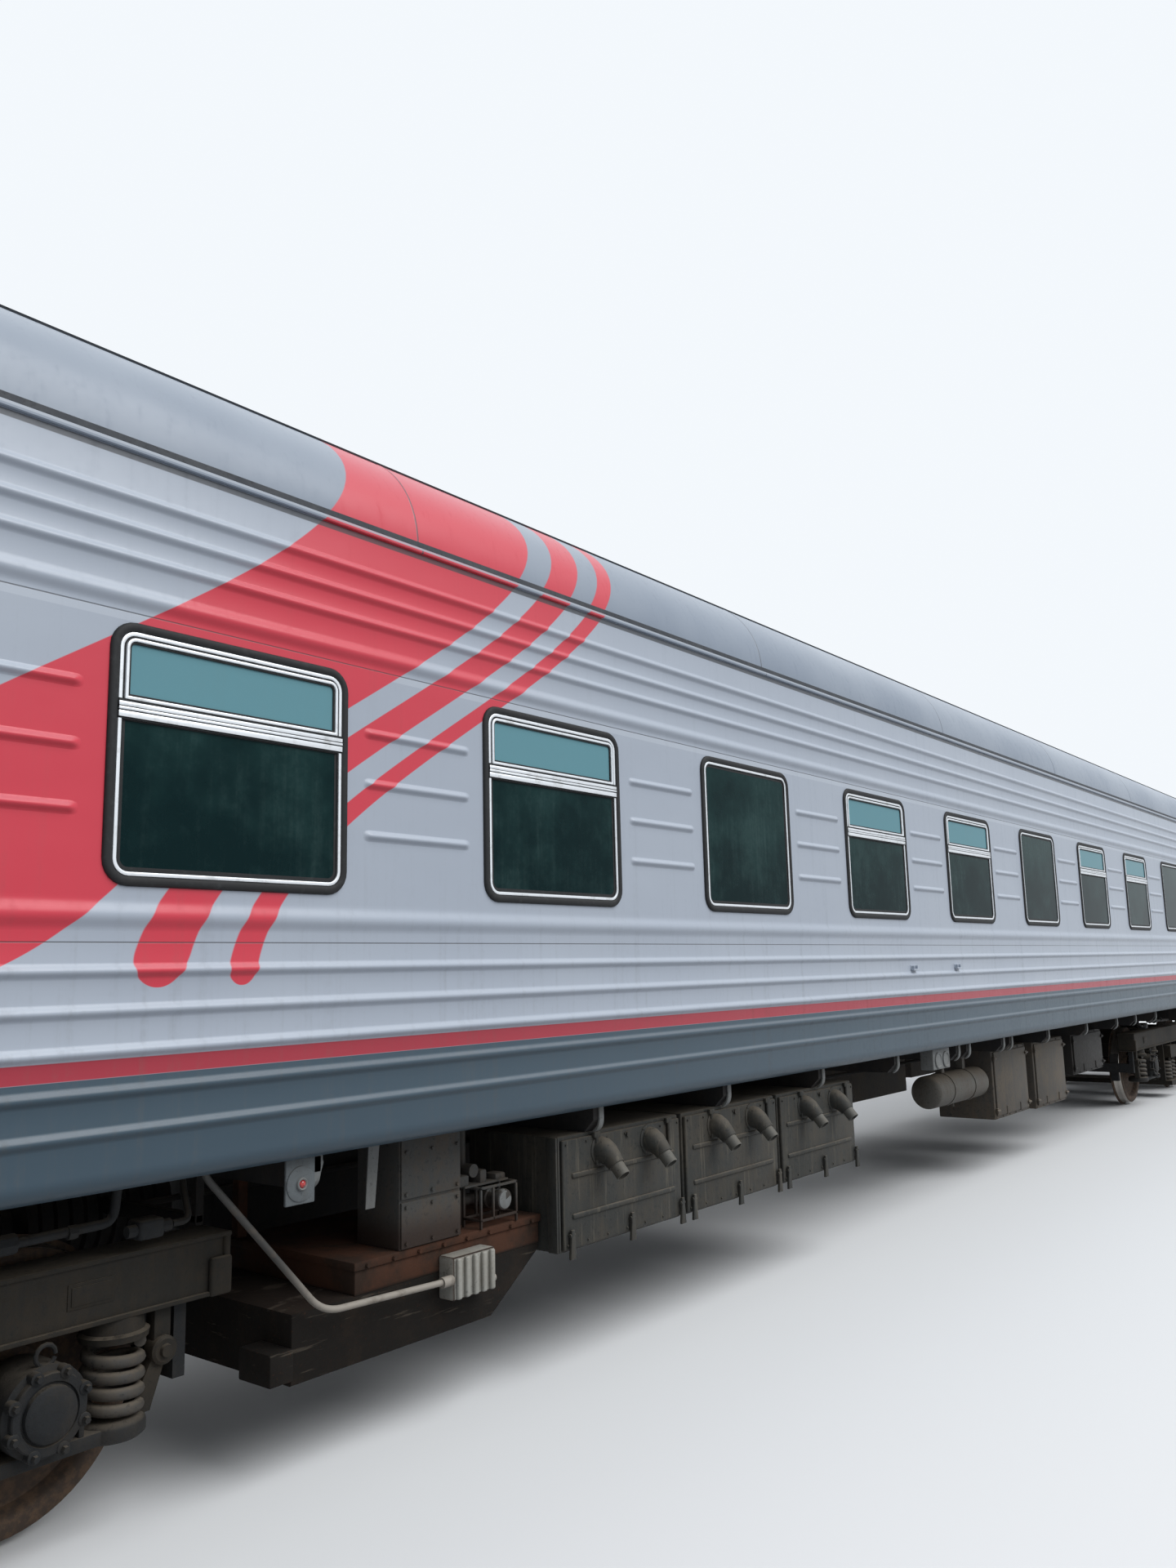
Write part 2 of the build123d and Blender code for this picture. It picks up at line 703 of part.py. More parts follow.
def coupler():
    """Automatic coupler at +X: shank, large tooth, throat and small tooth, seen in plan."""
    outline = Polyline(*COUPLER_HEAD, close=True)
    half = COUPLER_HEIGHT / 2
    head = Pos(COUPLING_LINE, 0, COUPLER_Z - half) * extrude(make_face(outline), COUPLER_HEIGHT)
    half_shank = COUPLER_SHANK / 2
    shank = block(
        DRAFT_SILL_END + SEAT_GAP,
        COUPLING_LINE + COUPLER_HEAD[0][0] + SEAT_GAP,
        -half_shank,
        half_shank,
        COUPLER_Z - half_shank,
        COUPLER_Z + half_shank,
    )
    return head + shank


def entrance_steps():
    """Hung steps below the far side door at +X: two cheeks and three treads."""
    x0 = DOOR_JAMB_X
    x1 = DOOR_JAMB_X + DOOR_OPENING
    y0 = STEP_BACK_Y
    y1 = SIDE_Y - STEP_INSET
    steps = []
    for start in (x0, x1 - STEP_CHEEK):
        steps.append(block(start, start + STEP_CHEEK, y0, y1, STEP_BOTTOM, FLOOR_Z - SEAT_GAP))
    rise = (FLOOR_Z - STEP_BOTTOM) / STEP_COUNT
    for index in range(STEP_COUNT):
        z = STEP_BOTTOM + rise * index
        steps.append(block(x0, x1, y0, y1, z, z + STEP_TREAD))
    return Part() + steps


def handrail(x):
    """A vertical rail standing off the far side sheet."""
    half = RAIL_BAR / 2
    outer = SIDE_Y + RAIL_STANDOFF
    bar = block(x - half, x + half, outer - RAIL_BAR, outer, RAIL_LOW, RAIL_HIGH)
    feet = [
        block(x - half, x + half, SIDE_Y, outer, z, z + RAIL_BAR)
        for z in (RAIL_LOW, RAIL_HIGH - RAIL_BAR)
    ]
    return bar + feet


def battery_box(x):
    """A battery box hung on the near side: body, two swages, two vent elbows, three latches."""
    x1 = x + BATTERY_WIDTH
    front = -BATTERY_FRONT_Y
    top = BEARER_BOTTOM - SEAT_GAP
    box = block(x, x1, front, front + BATTERY_DEPTH, BATTERY_BOTTOM, top)
    for z in BATTERY_SWAGES:
        inset = SWAGE_INSET
        box += block(x + inset, x1 - inset, front - SWAGE_OUT, front, z, z + SWAGE_WIDTH)
    for share in VENT_SHARES:
        vent = extrude(RegularPolygon(VENT_R, 8), VENT_LENGTH)
        turned = Rot(90 + VENT_SLOPE, 0, 0) * vent
        box += Pos(x + share * BATTERY_WIDTH, front + VENT_R, VENT_Z) * turned
    for share in LATCH_SHARES:
        latch_x = x + share * BATTERY_WIDTH
        box += block(latch_x, latch_x + LATCH_WIDTH, front - LATCH_WIDTH, front, LATCH_LOW, LATCH_HIGH)
    return box


def heater_trough():
    """Sheet trough below the near side: sloped trough, upper box, lid and the block on its left end."""
    outline = Polyline(
        (TROUGH_LEFT, TROUGH_BOTTOM),
        (TROUGH_KNEE, TROUGH_BOTTOM),
        (TROUGH_RIGHT, TROUGH_SLOPE_TOP),
        (TROUGH_RIGHT, TROUGH_SHOULDER),
        (TROUGH_LEFT, TROUGH_SHOULDER),
        close=True,
    )
    trough = side_prism(make_face(outline), 0, 0, -TROUGH_FRONT_Y, TROUGH_BACK_Y)
    upper = block(TROUGH_BOX_LEFT, TROUGH_RIGHT, -TROUGH_FRONT_Y, TROUGH_BACK_Y, TROUGH_SHOULDER, TROUGH_LID)
    lid = block(
        TROUGH_BOX_LEFT - LID_LAP,
        TROUGH_RIGHT + LID_LAP,
        -TROUGH_FRONT_Y - LID_LAP,
        TROUGH_BACK_Y + LID_LAP,
        TROUGH_LID,
        TROUGH_LID + LID_THICK,
    )
    foot = block(
        TROUGH_LEFT - TROUGH_BLOCK,
        TROUGH_LEFT,
        TROUGH_BLOCK_Y,
        TROUGH_BLOCK_Y + TROUGH_BLOCK,
        TROUGH_BLOCK_BOTTOM,
        TROUGH_BLOCK_BOTTOM + TROUGH_BLOCK_HEIGHT,
    )
    hangers = [
        block(x, x + HANGER, TROUGH_BACK_Y - HANGER, TROUGH_BACK_Y, TROUGH_LID + LID_THICK, FLOOR_Z - SEAT_GAP)
        for x in (TROUGH_BOX_LEFT, TROUGH_RIGHT - HANGER)
    ]
    return trough + [upper, lid, foot, *hangers]


def air_duct():
    """Riser from the trough's lid to the floor."""
    return block(
        DUCT_X,
        DUCT_X + DUCT_WIDTH,
        -TROUGH_FRONT_Y - LID_LAP,
        -TROUGH_FRONT_Y + DUCT_DEPTH,
        TROUGH_LID + LID_THICK + SEAT_GAP,
        FLOOR_Z - SEAT_GAP,
    )


def heater_conduit():
    """Cable tube from the side sill, bent along the trough to its connector box."""
    route = FilletPolyline(*CONDUIT_ROUTE, radius=CONDUIT_BEND)
    start = Plane(origin=route @ 0, z_dir=route % 0)
    tube = sweep(start * RegularPolygon(CONDUIT_R, 6), path=route)
    end = CONDUIT_ROUTE[-1]
    box = block(
        end[0],
        end[0] + CONNECTOR[0],
        -TROUGH_FRONT_Y - SEAT_GAP - CONNECTOR[1],
        -TROUGH_FRONT_Y - SEAT_GAP,
        end[2] - CONNECTOR_DROP,
        end[2] - CONNECTOR_DROP + CONNECTOR[2],
    )
    return tube + box


def valve_cage():
    """Drain valve in a small cage on the trough's lid."""
    z0 = TROUGH_LID + LID_THICK + SEAT_GAP
    y0 = -TROUGH_FRONT_Y
    y1 = y0 + CAGE[1]
    z1 = z0 + CAGE[2]
    x1 = CAGE_X + CAGE[0]
    cage = block(CAGE_X, x1, y0, y1, z0, z1)
    bar = CAGE_BAR
    gap_x = block(CAGE_X - bar, x1 + bar, y0 + bar, y1 - bar, z0 + bar, z1 - bar)
    gap_y = block(CAGE_X + bar, x1 - bar, y0 - bar, y1 + bar, z0 + bar, z1 - bar)
    valve_x = CAGE_X + VALVE_SHARE * CAGE[0]
    turned = Rot(90, 0, 0) * extrude(RegularPolygon(VALVE_R, 8), CAGE[1])
    middle = z0 + CAGE[2] / 2
    valve = Pos(valve_x, y1, middle) * turned
    stem_x = CAGE_X + STEM_SHARE * CAGE[0]
    stem = block(stem_x - bar, stem_x + bar, y1 - bar, y1, z0, FLOOR_Z - SEAT_GAP)
    pipe = block(stem_x, valve_x, y1 - bar, y1, middle - bar, middle + bar)
    return (cage - gap_x - gap_y) + [valve, stem, pipe]


def lamp_plate(x):
    """Plate for a tail lamp, hung from the side sill, with the lamp's lens."""
    y0 = -LAMP_Y
    top = SKIRT_Z - SEAT_GAP
    plate = block(x, x + LAMP_PLATE[0], y0, y0 + LAMP_PLATE[1], top - LAMP_PLATE[2], top)
    lens = extrude(RegularPolygon(LENS_R, 8), LENS_R)
    middle = Pos(x + LAMP_PLATE[0] / 2, y0, SKIRT_Z - LAMP_PLATE[2] / 2) * Rot(90, 0, 0)
    return plate + middle * lens


def reservoir(x0, x1, y, z, radius):
    """Brake air reservoir lying along the coach, with two straps up to the floor."""
    length = x1 - x0
    tank = Pos(x0, y, z) * Rot(0, 90, 0) * extrude(RegularPolygon(radius, 16), length)
    straps = []
    for share in STRAP_SHARES:
        x = x0 + share * length
        half = STRAP / 2
        straps.append(block(x - half, x + half, y - half, y + half, z + radius - STRAP / 4, FLOOR_Z - SEAT_GAP))
    return tank + straps


def cabinet(x, width, front, depth, bottom):
    """An equipment cabinet hung from the floor by two straps, front given as |y| on the near side."""
    top = BEARER_BOTTOM - SEAT_GAP
    body = block(x, x + width, -front, depth - front, bottom, top)
    inset = CABINET_RIM
    door = block(x + inset, x + width - inset, -front - CABINET_DOOR, -front, bottom + inset, top - inset)
    middle = depth / 2 - front
    half = STRAP / 2
    straps = []
    for share in STRAP_SHARES:
        strap_x = x + share * width
        straps.append(
            block(strap_x - half, strap_x + half, middle - half, middle + half, top, FLOOR_Z - SEAT_GAP)
        )
    return body + [door, *straps]


def roof_vent(x):
    """Mushroom ventilator on the middle rib of the roof."""
    z = ROOF_CROWN + ROOF_RIB_HEIGHT
    stem = Pos(x, 0, z) * extrude(RegularPolygon(VENT_STEM_R, 8), VENT_STEM)
    cap = Pos(x, 0, z + VENT_STEM) * extrude(RegularPolygon(VENT_CAP_R, 8), VENT_CAP)
    return stem + cap


def beam_sides(x):
    """Where a bogie's eight springs stand."""
    places = []
    for axle in (-1, 1):
        for side in (-1, 1):
            for offset in (-SPRING_OFFSET, SPRING_OFFSET):
                places.append((x + axle * WHEELBASE / 2 + offset, side * JOURNAL_Y))
    return places


def bogie_frame(x):
    """Two side beams, two transoms, and a cap over each spring."""
    half = BEAM_WIDTH / 2
    frame = Part()
    for side in (-1, 1):
        middle = side * JOURNAL_Y
        frame += block(x - BOGIE_HALF, x + BOGIE_HALF, middle - half, middle + half, BEAM_BOTTOM, BEAM_TOP)
    for side in (-1, 1):
        start = x + side * TRANSOM_X
        frame += block(
            start - TRANSOM_WIDTH_X / 2,
            start + TRANSOM_WIDTH_X / 2,
            -JOURNAL_Y,
            JOURNAL_Y,
            BEAM_BOTTOM,
            BEAM_TOP,
        )
    cap = extrude(RegularPolygon(CUP_R, 8), BEAM_BOTTOM - SPRING_TOP)
    return frame + [Pos(px, py, SPRING_TOP) * cap for px, py in beam_sides(x)]


def bogie_bolster(x):
    """Bolster between the transoms, with the centre bowl and two side bearers."""
    outline = Polyline(
        (-BOLSTER_END, BOLSTER_LOW),
        (BOLSTER_END, BOLSTER_LOW),
        (BOLSTER_END, BOLSTER_END_TOP),
        (BOLSTER_STEP, BOLSTER_END_TOP),
        (BOLSTER_STEP - BOLSTER_RAMP, BOLSTER_TOP),
        (BOLSTER_RAMP - BOLSTER_STEP, BOLSTER_TOP),
        (-BOLSTER_STEP, BOLSTER_END_TOP),
        (-BOLSTER_END, BOLSTER_END_TOP),
        close=True,
    )
    bolster = along(make_face(outline), x - BOLSTER_WIDTH / 2, x + BOLSTER_WIDTH / 2)
    bearing = BODY_BOLSTER_Z - SEAT_GAP
    bowl = Pos(x, 0, BOLSTER_TOP) * extrude(RegularPolygon(BOWL_R, 16), bearing - BOLSTER_TOP)
    half = BEARER_PAD / 2
    pads = [
        block(x - half, x + half, y - half, y + half, BOLSTER_TOP, bearing)
        for y in (-SIDE_BEARER_Y, SIDE_BEARER_Y)
    ]
    return bolster + [bowl, *pads]


def springs(x):
    """Primary springs over the axle box seats and secondary springs under the bolster."""
    primary = extrude(RegularPolygon(SPRING_R, 6), SPRING_TOP - SPRING_BOTTOM)
    result = [Pos(px, py, SPRING_BOTTOM) * primary for px, py in beam_sides(x)]
    secondary = extrude(RegularPolygon(BOLSTER_SPRING_R, 6), BOLSTER_LOW - PLANK_TOP)
    for side in (-1, 1):
        for offset in (-BOLSTER_SPRING_X, BOLSTER_SPRING_X):
            result.append(Pos(x + offset, side * JOURNAL_Y, PLANK_TOP) * secondary)
    return result


def swing_plank(x):
    """Plank under the bolster springs, hung from the side beams by four links."""
    half = PLANK_WIDTH / 2
    plank = block(x - half, x + half, -BOLSTER_END, BOLSTER_END, PLANK_TOP - PLANK_THICK, PLANK_TOP)
    for side in (-1, 1):
        for end in (-1, 1):
            x1 = x + end * half
            x0 = x1 - end * LINK
            middle = side * JOURNAL_Y
            plank += block(min(x0, x1), max(x0, x1), middle - LINK, middle + LINK, PLANK_TOP, BEAM_BOTTOM)
    return plank


def spring_seat():
    """Plan of the long plate that carries the two springs of an axle box."""
    half = CUP_R / 2
    reach = SPRING_OFFSET + CUP_R
    corner = reach - CUP_R + half
    points = [(corner, CUP_R), (reach, half), (reach, -half), (corner, -CUP_R)]
    points += [(-x, -y) for x, y in points]
    return make_face(Polyline(*points, close=True))


def axle_boxes(x):
    """Four axle boxes with a spring seat on each side."""
    centre_z = WHEEL_R
    boxes = []
    for axle in (-1, 1):
        ax = x + axle * WHEELBASE / 2
        housing = extrude(RegularPolygon(BOX_R, 10), BOX_COVER_Y - BOX_BACK_Y)
        box = Pos(ax, BOX_COVER_Y, centre_z) * Rot(90, 0, 0) * housing
        box += Pos(ax, JOURNAL_Y, CUP_BOTTOM) * extrude(spring_seat(), SPRING_BOTTOM - CUP_BOTTOM)
        depth = BOX_BORE_Y - BOX_BACK_Y
        bore = extrude(RegularPolygon(AXLE_R + BEARING_CLEARANCE, BORE_FACETS, major_radius=False), depth)
        box -= Pos(ax, BOX_BORE_Y, centre_z) * Rot(90, 0, 0) * bore
        boxes.append(box)
    return other_side(boxes)


def brake_gear(x):
    """Cross beams with a block at each wheel, hung below the side beams."""
    centre_z = WHEEL_R
    tread_y = WHEEL_BACK_Y + FLANGE_THICK + TREAD_WIDTH / 2
    reach = WHEEL_R + SHOE_GAP
    wheel_space = extrude(wheel_outline(reach), 2 * SHOE_WIDTH)
    beams = []
    for axle in (-1, 1):
        ax = x + axle * WHEELBASE / 2
        for side in (-1, 1):
            beam_x = ax + side * (reach + BRAKE_BEAM_INSET)
            beam = block(
                beam_x,
                beam_x + side * BRAKE_HANGER,
                -JOURNAL_Y,
                JOURNAL_Y,
                centre_z - BRAKE_BEAM / 2,
                centre_z + BRAKE_BEAM / 2,
            )
            for y in (-tread_y, tread_y):
                shoe = block(
                    ax + side * (reach - SHOE_THICK),
                    ax + side * (reach + SHOE_THICK),
                    y - SHOE_WIDTH / 2,
                    y + SHOE_WIDTH / 2,
                    centre_z - SHOE_HEIGHT / 2,
                    centre_z + SHOE_HEIGHT / 2,
                )
                beam += shoe - Pos(ax, y + SHOE_WIDTH, centre_z) * Rot(90, 0, 0) * wheel_space
            hanger = block(
                beam_x,
                beam_x + side * BRAKE_HANGER,
                JOURNAL_Y - BRAKE_HANGER / 2,
                JOURNAL_Y + BRAKE_HANGER / 2,
                centre_z - BRAKE_BEAM / 2,
                BEAM_BOTTOM - SEAT_GAP,
            )
            beams.append(beam + other_side([hanger]))
    return beams


def wheel_outline(radius):
    """A many-sided round with a flat at the bottom."""
    return RegularPolygon(radius, WHEEL_FACETS, major_radius=False, rotation=180 / WHEEL_FACETS)


def wheel_pair(x):
    """Two flanged wheels pressed on one axle, their rims standing out from the webs."""
    tip = wheel_outline(WHEEL_R + FLANGE_DEPTH)
    slope = degrees(atan2(FLANGE_DEPTH, FLANGE_THICK))
    width = FLANGE_THICK + TREAD_WIDTH
    wheel = extrude(tip, FLANGE_THICK, taper=slope) + extrude(wheel_outline(WHEEL_R), width)
    wheel -= Pos(0, 0, width - DISH) * extrude(RegularPolygon(RIM_R, WEB_FACETS), DISH)
    wheel -= extrude(RegularPolygon(AXLE_R, BORE_FACETS, major_radius=False), width)
    return other_side([Pos(x, WHEEL_BACK_Y, WHEEL_R) * Rot(-90, 0, 0) * wheel])


def axle(x):
    """Plain axle running in the axle boxes."""
    length = 2 * (BOX_BORE_Y - AXLE_END_GAP)
    return Pos(x, 0, WHEEL_R) * Rot(90, 0, 0) * Cylinder(AXLE_R, length)


far = far_wall()
save("side_wall_far", far)
save("side_wall_near", mirror(far, Plane.XZ))
save("roof", roof())
save("end_walls", *other_end([end_wall()]))
save("gangways", *other_end([gangway()]))

frames = [window_frame(*row) for row in windows()]
panes = [window_pane(*row[:4]) for row in windows()]
save("window_frames_far", *frames)
save("window_frames_near", *[mirror(frame, Plane.XZ) for frame in frames])
save("window_panes_far", *panes)
save("window_panes_near", *[mirror(pane, Plane.XZ) for pane in panes])

leaf, leaf_pane = side_door()
for side, side_plane in (("far", None), ("near", Plane.XZ)):
    for end, end_plane in (("right", None), ("left", Plane.YZ)):
        shapes = [leaf, leaf_pane]
        for plane in (side_plane, end_plane):
            if plane is not None:
                shapes = [mirror(shape, plane) for shape in shapes]
        save(f"door_{side}_{end}", shapes[0])
        save(f"door_pane_{side}_{end}", shapes[1])
end_leaf, end_pane = end_door()
save("end_door_right", end_leaf)
save("end_door_pane_right", end_pane)
save("end_door_left", mirror(end_leaf, Plane.YZ))
save("end_door_pane_left", mirror(end_pane, Plane.YZ))

inside_x = END_X - END_WALL - SEAT_GAP
inside_y = INNER_Y - SEAT_GAP
save("floor", block(-inside_x, inside_x, -inside_y, inside_y, FLOOR_Z, FLOOR_TOP))
save("partitions", *partitions())
save("berths", *berths())
save("tables", *tables())

sill_x = DOOR_JAMB_X - SILL_END_GAP
sill = block(-sill_x, sill_x, INNER_Y - SILL_WIDTH, INNER_Y, SKIRT_Z, FLOOR_Z)
save("side_sills", *other_side([sill]))
save("cross_bearers", *[cross_bearer(x) for x in BEARERS])
save("draft_sills", *other_end([draft_sill()]))
save("buffer_beams", *other_end(other_side([buffer_beam()])))
save("buffers", *other_end(other_side([buffer_body()])))
right_coupler = coupler()
save("couplers", right_coupler, Rot(0, 0, 180) * right_coupler)
save("entrance_steps", *other_end(other_side([entrance_steps()])))
rails = [handrail(x) for x in (DOOR_JAMB_X - RAIL_OFFSET, DOOR_JAMB_X + DOOR_OPENING + RAIL_OFFSET)]
save("handrails", *other_end(other_side(rails)))

near_boxes = [battery_box(BATTERY_FIRST + BATTERY_PITCH * index) for index in range(BATTERY_COUNT)]
save("battery_boxes", *near_boxes)
save("heater_trough", heater_trough())
save("air_duct", air_duct())
save("heater_conduit", heater_conduit())
save("valve_cage", valve_cage())
save("lamp_plates", *[lamp_plate(x) for x in LAMP_PLACES])
tanks = [reservoir(*row) for row in RESERVOIRS]
save("air_reservoirs", *tanks)
cabinets = [cabinet(*row) for row in NEAR_CABINETS]
cabinets += [mirror(cabinet(*row), Plane.XZ) for row in FAR_CABINETS]
save("equipment_cabinets", *cabinets)
vent_steps = range(-ROOF_VENTS_EACH_WAY, ROOF_VENTS_EACH_WAY + 1)
save("roof_vents", *[roof_vent(ROOF_VENT_PITCH * step) for step in vent_steps])

for side, x in (("left", -PIVOT_X), ("right", PIVOT_X)):
    save(f"bogie_frame_{side}", bogie_frame(x))
    save(f"bogie_bolster_{side}", bogie_bolster(x), swing_plank(x))
    save(f"springs_{side}", *springs(x))
    save(f"axle_boxes_{side}", *axle_boxes(x))
    save(f"brake_gear_{side}", *brake_gear(x))
    for place, offset in (("a", -WHEELBASE / 2), ("b", WHEELBASE / 2)):
        save(f"wheels_{side}_{place}", *wheel_pair(x + offset))
        save(f"axle_{side}_{place}", axle(x + offset))
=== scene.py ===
import math
from itertools import product

import bmesh
import bpy
from mathutils import Matrix, Vector


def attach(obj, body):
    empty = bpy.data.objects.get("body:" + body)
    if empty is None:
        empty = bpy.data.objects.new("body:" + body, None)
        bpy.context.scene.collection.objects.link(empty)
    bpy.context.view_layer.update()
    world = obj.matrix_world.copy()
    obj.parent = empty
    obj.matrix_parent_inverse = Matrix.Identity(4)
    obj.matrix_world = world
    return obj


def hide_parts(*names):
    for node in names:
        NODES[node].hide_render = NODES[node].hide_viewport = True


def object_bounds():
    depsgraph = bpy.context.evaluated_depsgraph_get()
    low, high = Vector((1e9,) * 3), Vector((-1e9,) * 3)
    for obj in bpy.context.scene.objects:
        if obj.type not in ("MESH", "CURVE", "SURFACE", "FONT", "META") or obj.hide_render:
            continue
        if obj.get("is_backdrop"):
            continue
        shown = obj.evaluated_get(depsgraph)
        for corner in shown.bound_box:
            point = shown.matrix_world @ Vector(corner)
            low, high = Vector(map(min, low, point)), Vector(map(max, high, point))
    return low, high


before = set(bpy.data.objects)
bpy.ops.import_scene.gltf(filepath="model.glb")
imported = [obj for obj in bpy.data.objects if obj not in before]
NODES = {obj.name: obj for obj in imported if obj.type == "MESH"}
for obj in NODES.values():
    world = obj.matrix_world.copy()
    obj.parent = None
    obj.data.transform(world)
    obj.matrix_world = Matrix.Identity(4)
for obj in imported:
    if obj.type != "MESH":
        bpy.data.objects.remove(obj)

CAD_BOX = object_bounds()

# ----------------------------------------------------------------------
# Wheelsets. Forged steel wheels pressed on a solid axle: dished web, thick hub, flanged tread.
# The webs and hubs are coated in brown brake dust, and the tread is rolled bright by the rail.
# Two wheelsets stand in each bogie.
# ----------------------------------------------------------------------
RAIL = 0.028
BOTH = (-1, 1)
BOGIES = {"left": -8.5, "right": 8.5}
AXLE_OFFSETS = {"a": -1.2, "b": 1.2}
AXLE_Z = RAIL + 0.4785
WHEEL_STEPS = 64
# Half section of a wheel: distance from the coach's middle plane, radius
WHEEL_SECTION = [
    (0.722, 0.080), (0.722, 0.148), (0.732, 0.160), (0.770, 0.185), (0.778, 0.300),
    (0.752, 0.386), (0.722, 0.402), (0.720, 0.482), (0.724, 0.497), (0.734, 0.5063),
    (0.743, 0.500), (0.749, 0.489), (0.757, 0.4800), (0.800, 0.4775), (0.842, 0.4750),
    (0.849, 0.468), (0.850, 0.412), (0.838, 0.400), (0.806, 0.380), (0.796, 0.300),
    (0.806, 0.195), (0.836, 0.165), (0.848, 0.155), (0.848, 0.080),
]


def colour(*screen):
    """A colour given as seen on a screen, 0 to 255, as Blender's linear values."""
    shares = [channel / 255 for channel in screen]
    return (*(s / 12.92 if s <= 0.04045 else ((s + 0.055) / 1.055) ** 2.4 for s in shares), 1.0)


class Value:
    """A number that varies over a surface. Arithmetic on it adds Math nodes to its tree."""

    def __init__(self, net, socket):
        self.net = net
        self.socket = socket

    def __add__(self, other):
        return self.net.maths("ADD", self, other)

    def __sub__(self, other):
        return self.net.maths("SUBTRACT", self, other)

    def __rsub__(self, other):
        return self.net.maths("SUBTRACT", other, self)

    def __mul__(self, other):
        return self.net.maths("MULTIPLY", self, other)

    def __truediv__(self, other):
        return self.net.maths("DIVIDE", self, other)

    def __pow__(self, other):
        return self.net.maths("POWER", self, other)

    def __abs__(self):
        return self.net.maths("ABSOLUTE", self)

    __radd__ = __add__
    __rmul__ = __mul__

    def over(self, low, high):
        """Eases from 0 at low to 1 at high."""
        inputs = {"Value": self, "From Min": low, "From Max": high}
        node = self.net.add("ShaderNodeMapRange", inputs, interpolation_type="SMOOTHSTEP")
        return Value(self.net, node.outputs["Result"])

    def under(self, low, high):
        """Eases from 1 at low to 0 at high."""
        return 1 - self.over(low, high)

    def within(self, low, high, soft):
        """1 between low and high, with edges of the given softness."""
        return self.over(low - soft, low + soft) * self.under(high - soft, high + soft)


class Net:
    """A node tree with one method that makes its nodes."""

    def __init__(self, tree):
        self.tree = tree

    def add(self, kind, inputs=(), **settings):
        """A node of this type: its settings are made first, then its sockets' values or links."""
        node = self.tree.nodes.new(kind)
        for name, value in settings.items():
            setattr(node, name, value)
        for name, value in dict(inputs).items():
            value = value.socket if isinstance(value, Value) else value
            if isinstance(value, bpy.types.NodeSocket):
                self.tree.links.new(value, node.inputs[name])
            else:
                node.inputs[name].default_value = value
        return node

    def maths(self, operation, *terms):
        return Value(self, self.add("ShaderNodeMath", enumerate(terms), operation=operation).outputs[0])


class Finish(Net):
    """A material: one principled shader that reads the object's own coordinates."""

    def __init__(self, name, **constants):
        self.material = bpy.data.materials.new(name)
        self.material.use_nodes = True
        super().__init__(self.material.node_tree)
        self.tree.nodes.clear()
        named = {socket.replace("_", " "): value for socket, value in constants.items()}
        self.shader = self.add("ShaderNodeBsdfPrincipled", named)
        self.add("ShaderNodeOutputMaterial", {"Surface": self.shader.outputs["BSDF"]})
        self.place = self.add("ShaderNodeTexCoord").outputs["Object"]
        self.x, self.y, self.z = self.parts(self.place)

    def parts(self, vector):
        """The three numbers of a vector."""
        return [Value(self, part) for part in self.add("ShaderNodeSeparateXYZ", {0: vector}).outputs]

    def noise(self, scale, detail=4.0, rough=0.55, stretch=(1, 1, 1), shift=(0, 0, 0)):
        """Cloudy noise from 0 to 1, its scale in lumps to the metre."""
        vector = self.add("ShaderNodeMapping", {"Vector": self.place, "Scale": stretch, "Location": shift}).outputs[0]
        inputs = {"Vector": vector, "Scale": scale, "Detail": detail, "Roughness": rough}
        return Value(self, self.add("ShaderNodeTexNoise", inputs).outputs[0])

    def facing_up(self):
        """How far the surface faces up, -1 to 1."""
        return self.parts(self.add("ShaderNodeNewGeometry").outputs["Normal"])[2]

    def mixed(self, first, second, share):
        """Two colours mixed, the second by its share."""
        return self.add("ShaderNodeMix", {0: share, 6: first, 7: second}, data_type="RGBA").outputs[2]

    def set(self, **sockets):
        """Links values to the shader's sockets."""
        for name, value in sockets.items():
            socket = value.socket if isinstance(value, Value) else value
            self.tree.links.new(socket, self.shader.inputs[name.replace("_", " ")])

    def overlay(self, tint, share):
        """Lays one more colour over the base colour, by its share."""
        painted = self.shader.inputs["Base Color"].links[0].from_socket
        self.set(Base_Color=self.mixed(painted, tint, share))

    def relief(self, height, distance):
        """Raises the surface by a height from 0 to 1 times a distance in metres."""
        self.set(Normal=self.add("ShaderNodeBump", {"Height": height, "Distance": distance}).outputs["Normal"])


def grimy(name, base, dirt, rough=0.6, metal=0.0, amount=0.55, dust=0.5, grain=0.0006):
    """Painted or bare steel under the floor: mottled with dirt, dusty where it faces up."""
    finish = Finish(name, Metallic=metal, Specular_IOR_Level=0.25)
    cloud = finish.noise(3.5, 6, 0.62)
    fine = finish.noise(38, 5, 0.7)
    runs = finish.noise(2.2, 4, 0.6, stretch=(9, 9, 0.9))
    share = (cloud * 0.5 + fine * 0.22 + runs * 0.28).over(0.42, 0.62) * amount
    settled = finish.facing_up().over(0.35, 0.95) * (0.4 + fine * 0.6) * dust
    soiled = finish.mixed(colour(*base), colour(*dirt), share)
    finish.set(Base_Color=soiled, Roughness=rough + (fine - 0.5) * 0.35 + settled * 0.2)
    finish.overlay(colour(128, 118, 104), settled)
    finish.overlay(colour(14, 13, 12), fine.under(0.3, 0.46) * 0.5)
    finish.relief(fine * 0.7 + cloud * 0.3, grain * 4)
    return finish


def skin(mesh, rows, loop=True):
    """Joins rows of vertices with faces. The rows of a loop close on themselves."""
    count = len(rows[0])
    return [
        mesh.faces.new((here[k], here[(k + 1) % count], there[(k + 1) % count], there[k]))
        for here, there in zip(rows, rows[1:])
        for k in range(count if loop else count - 1)
    ]


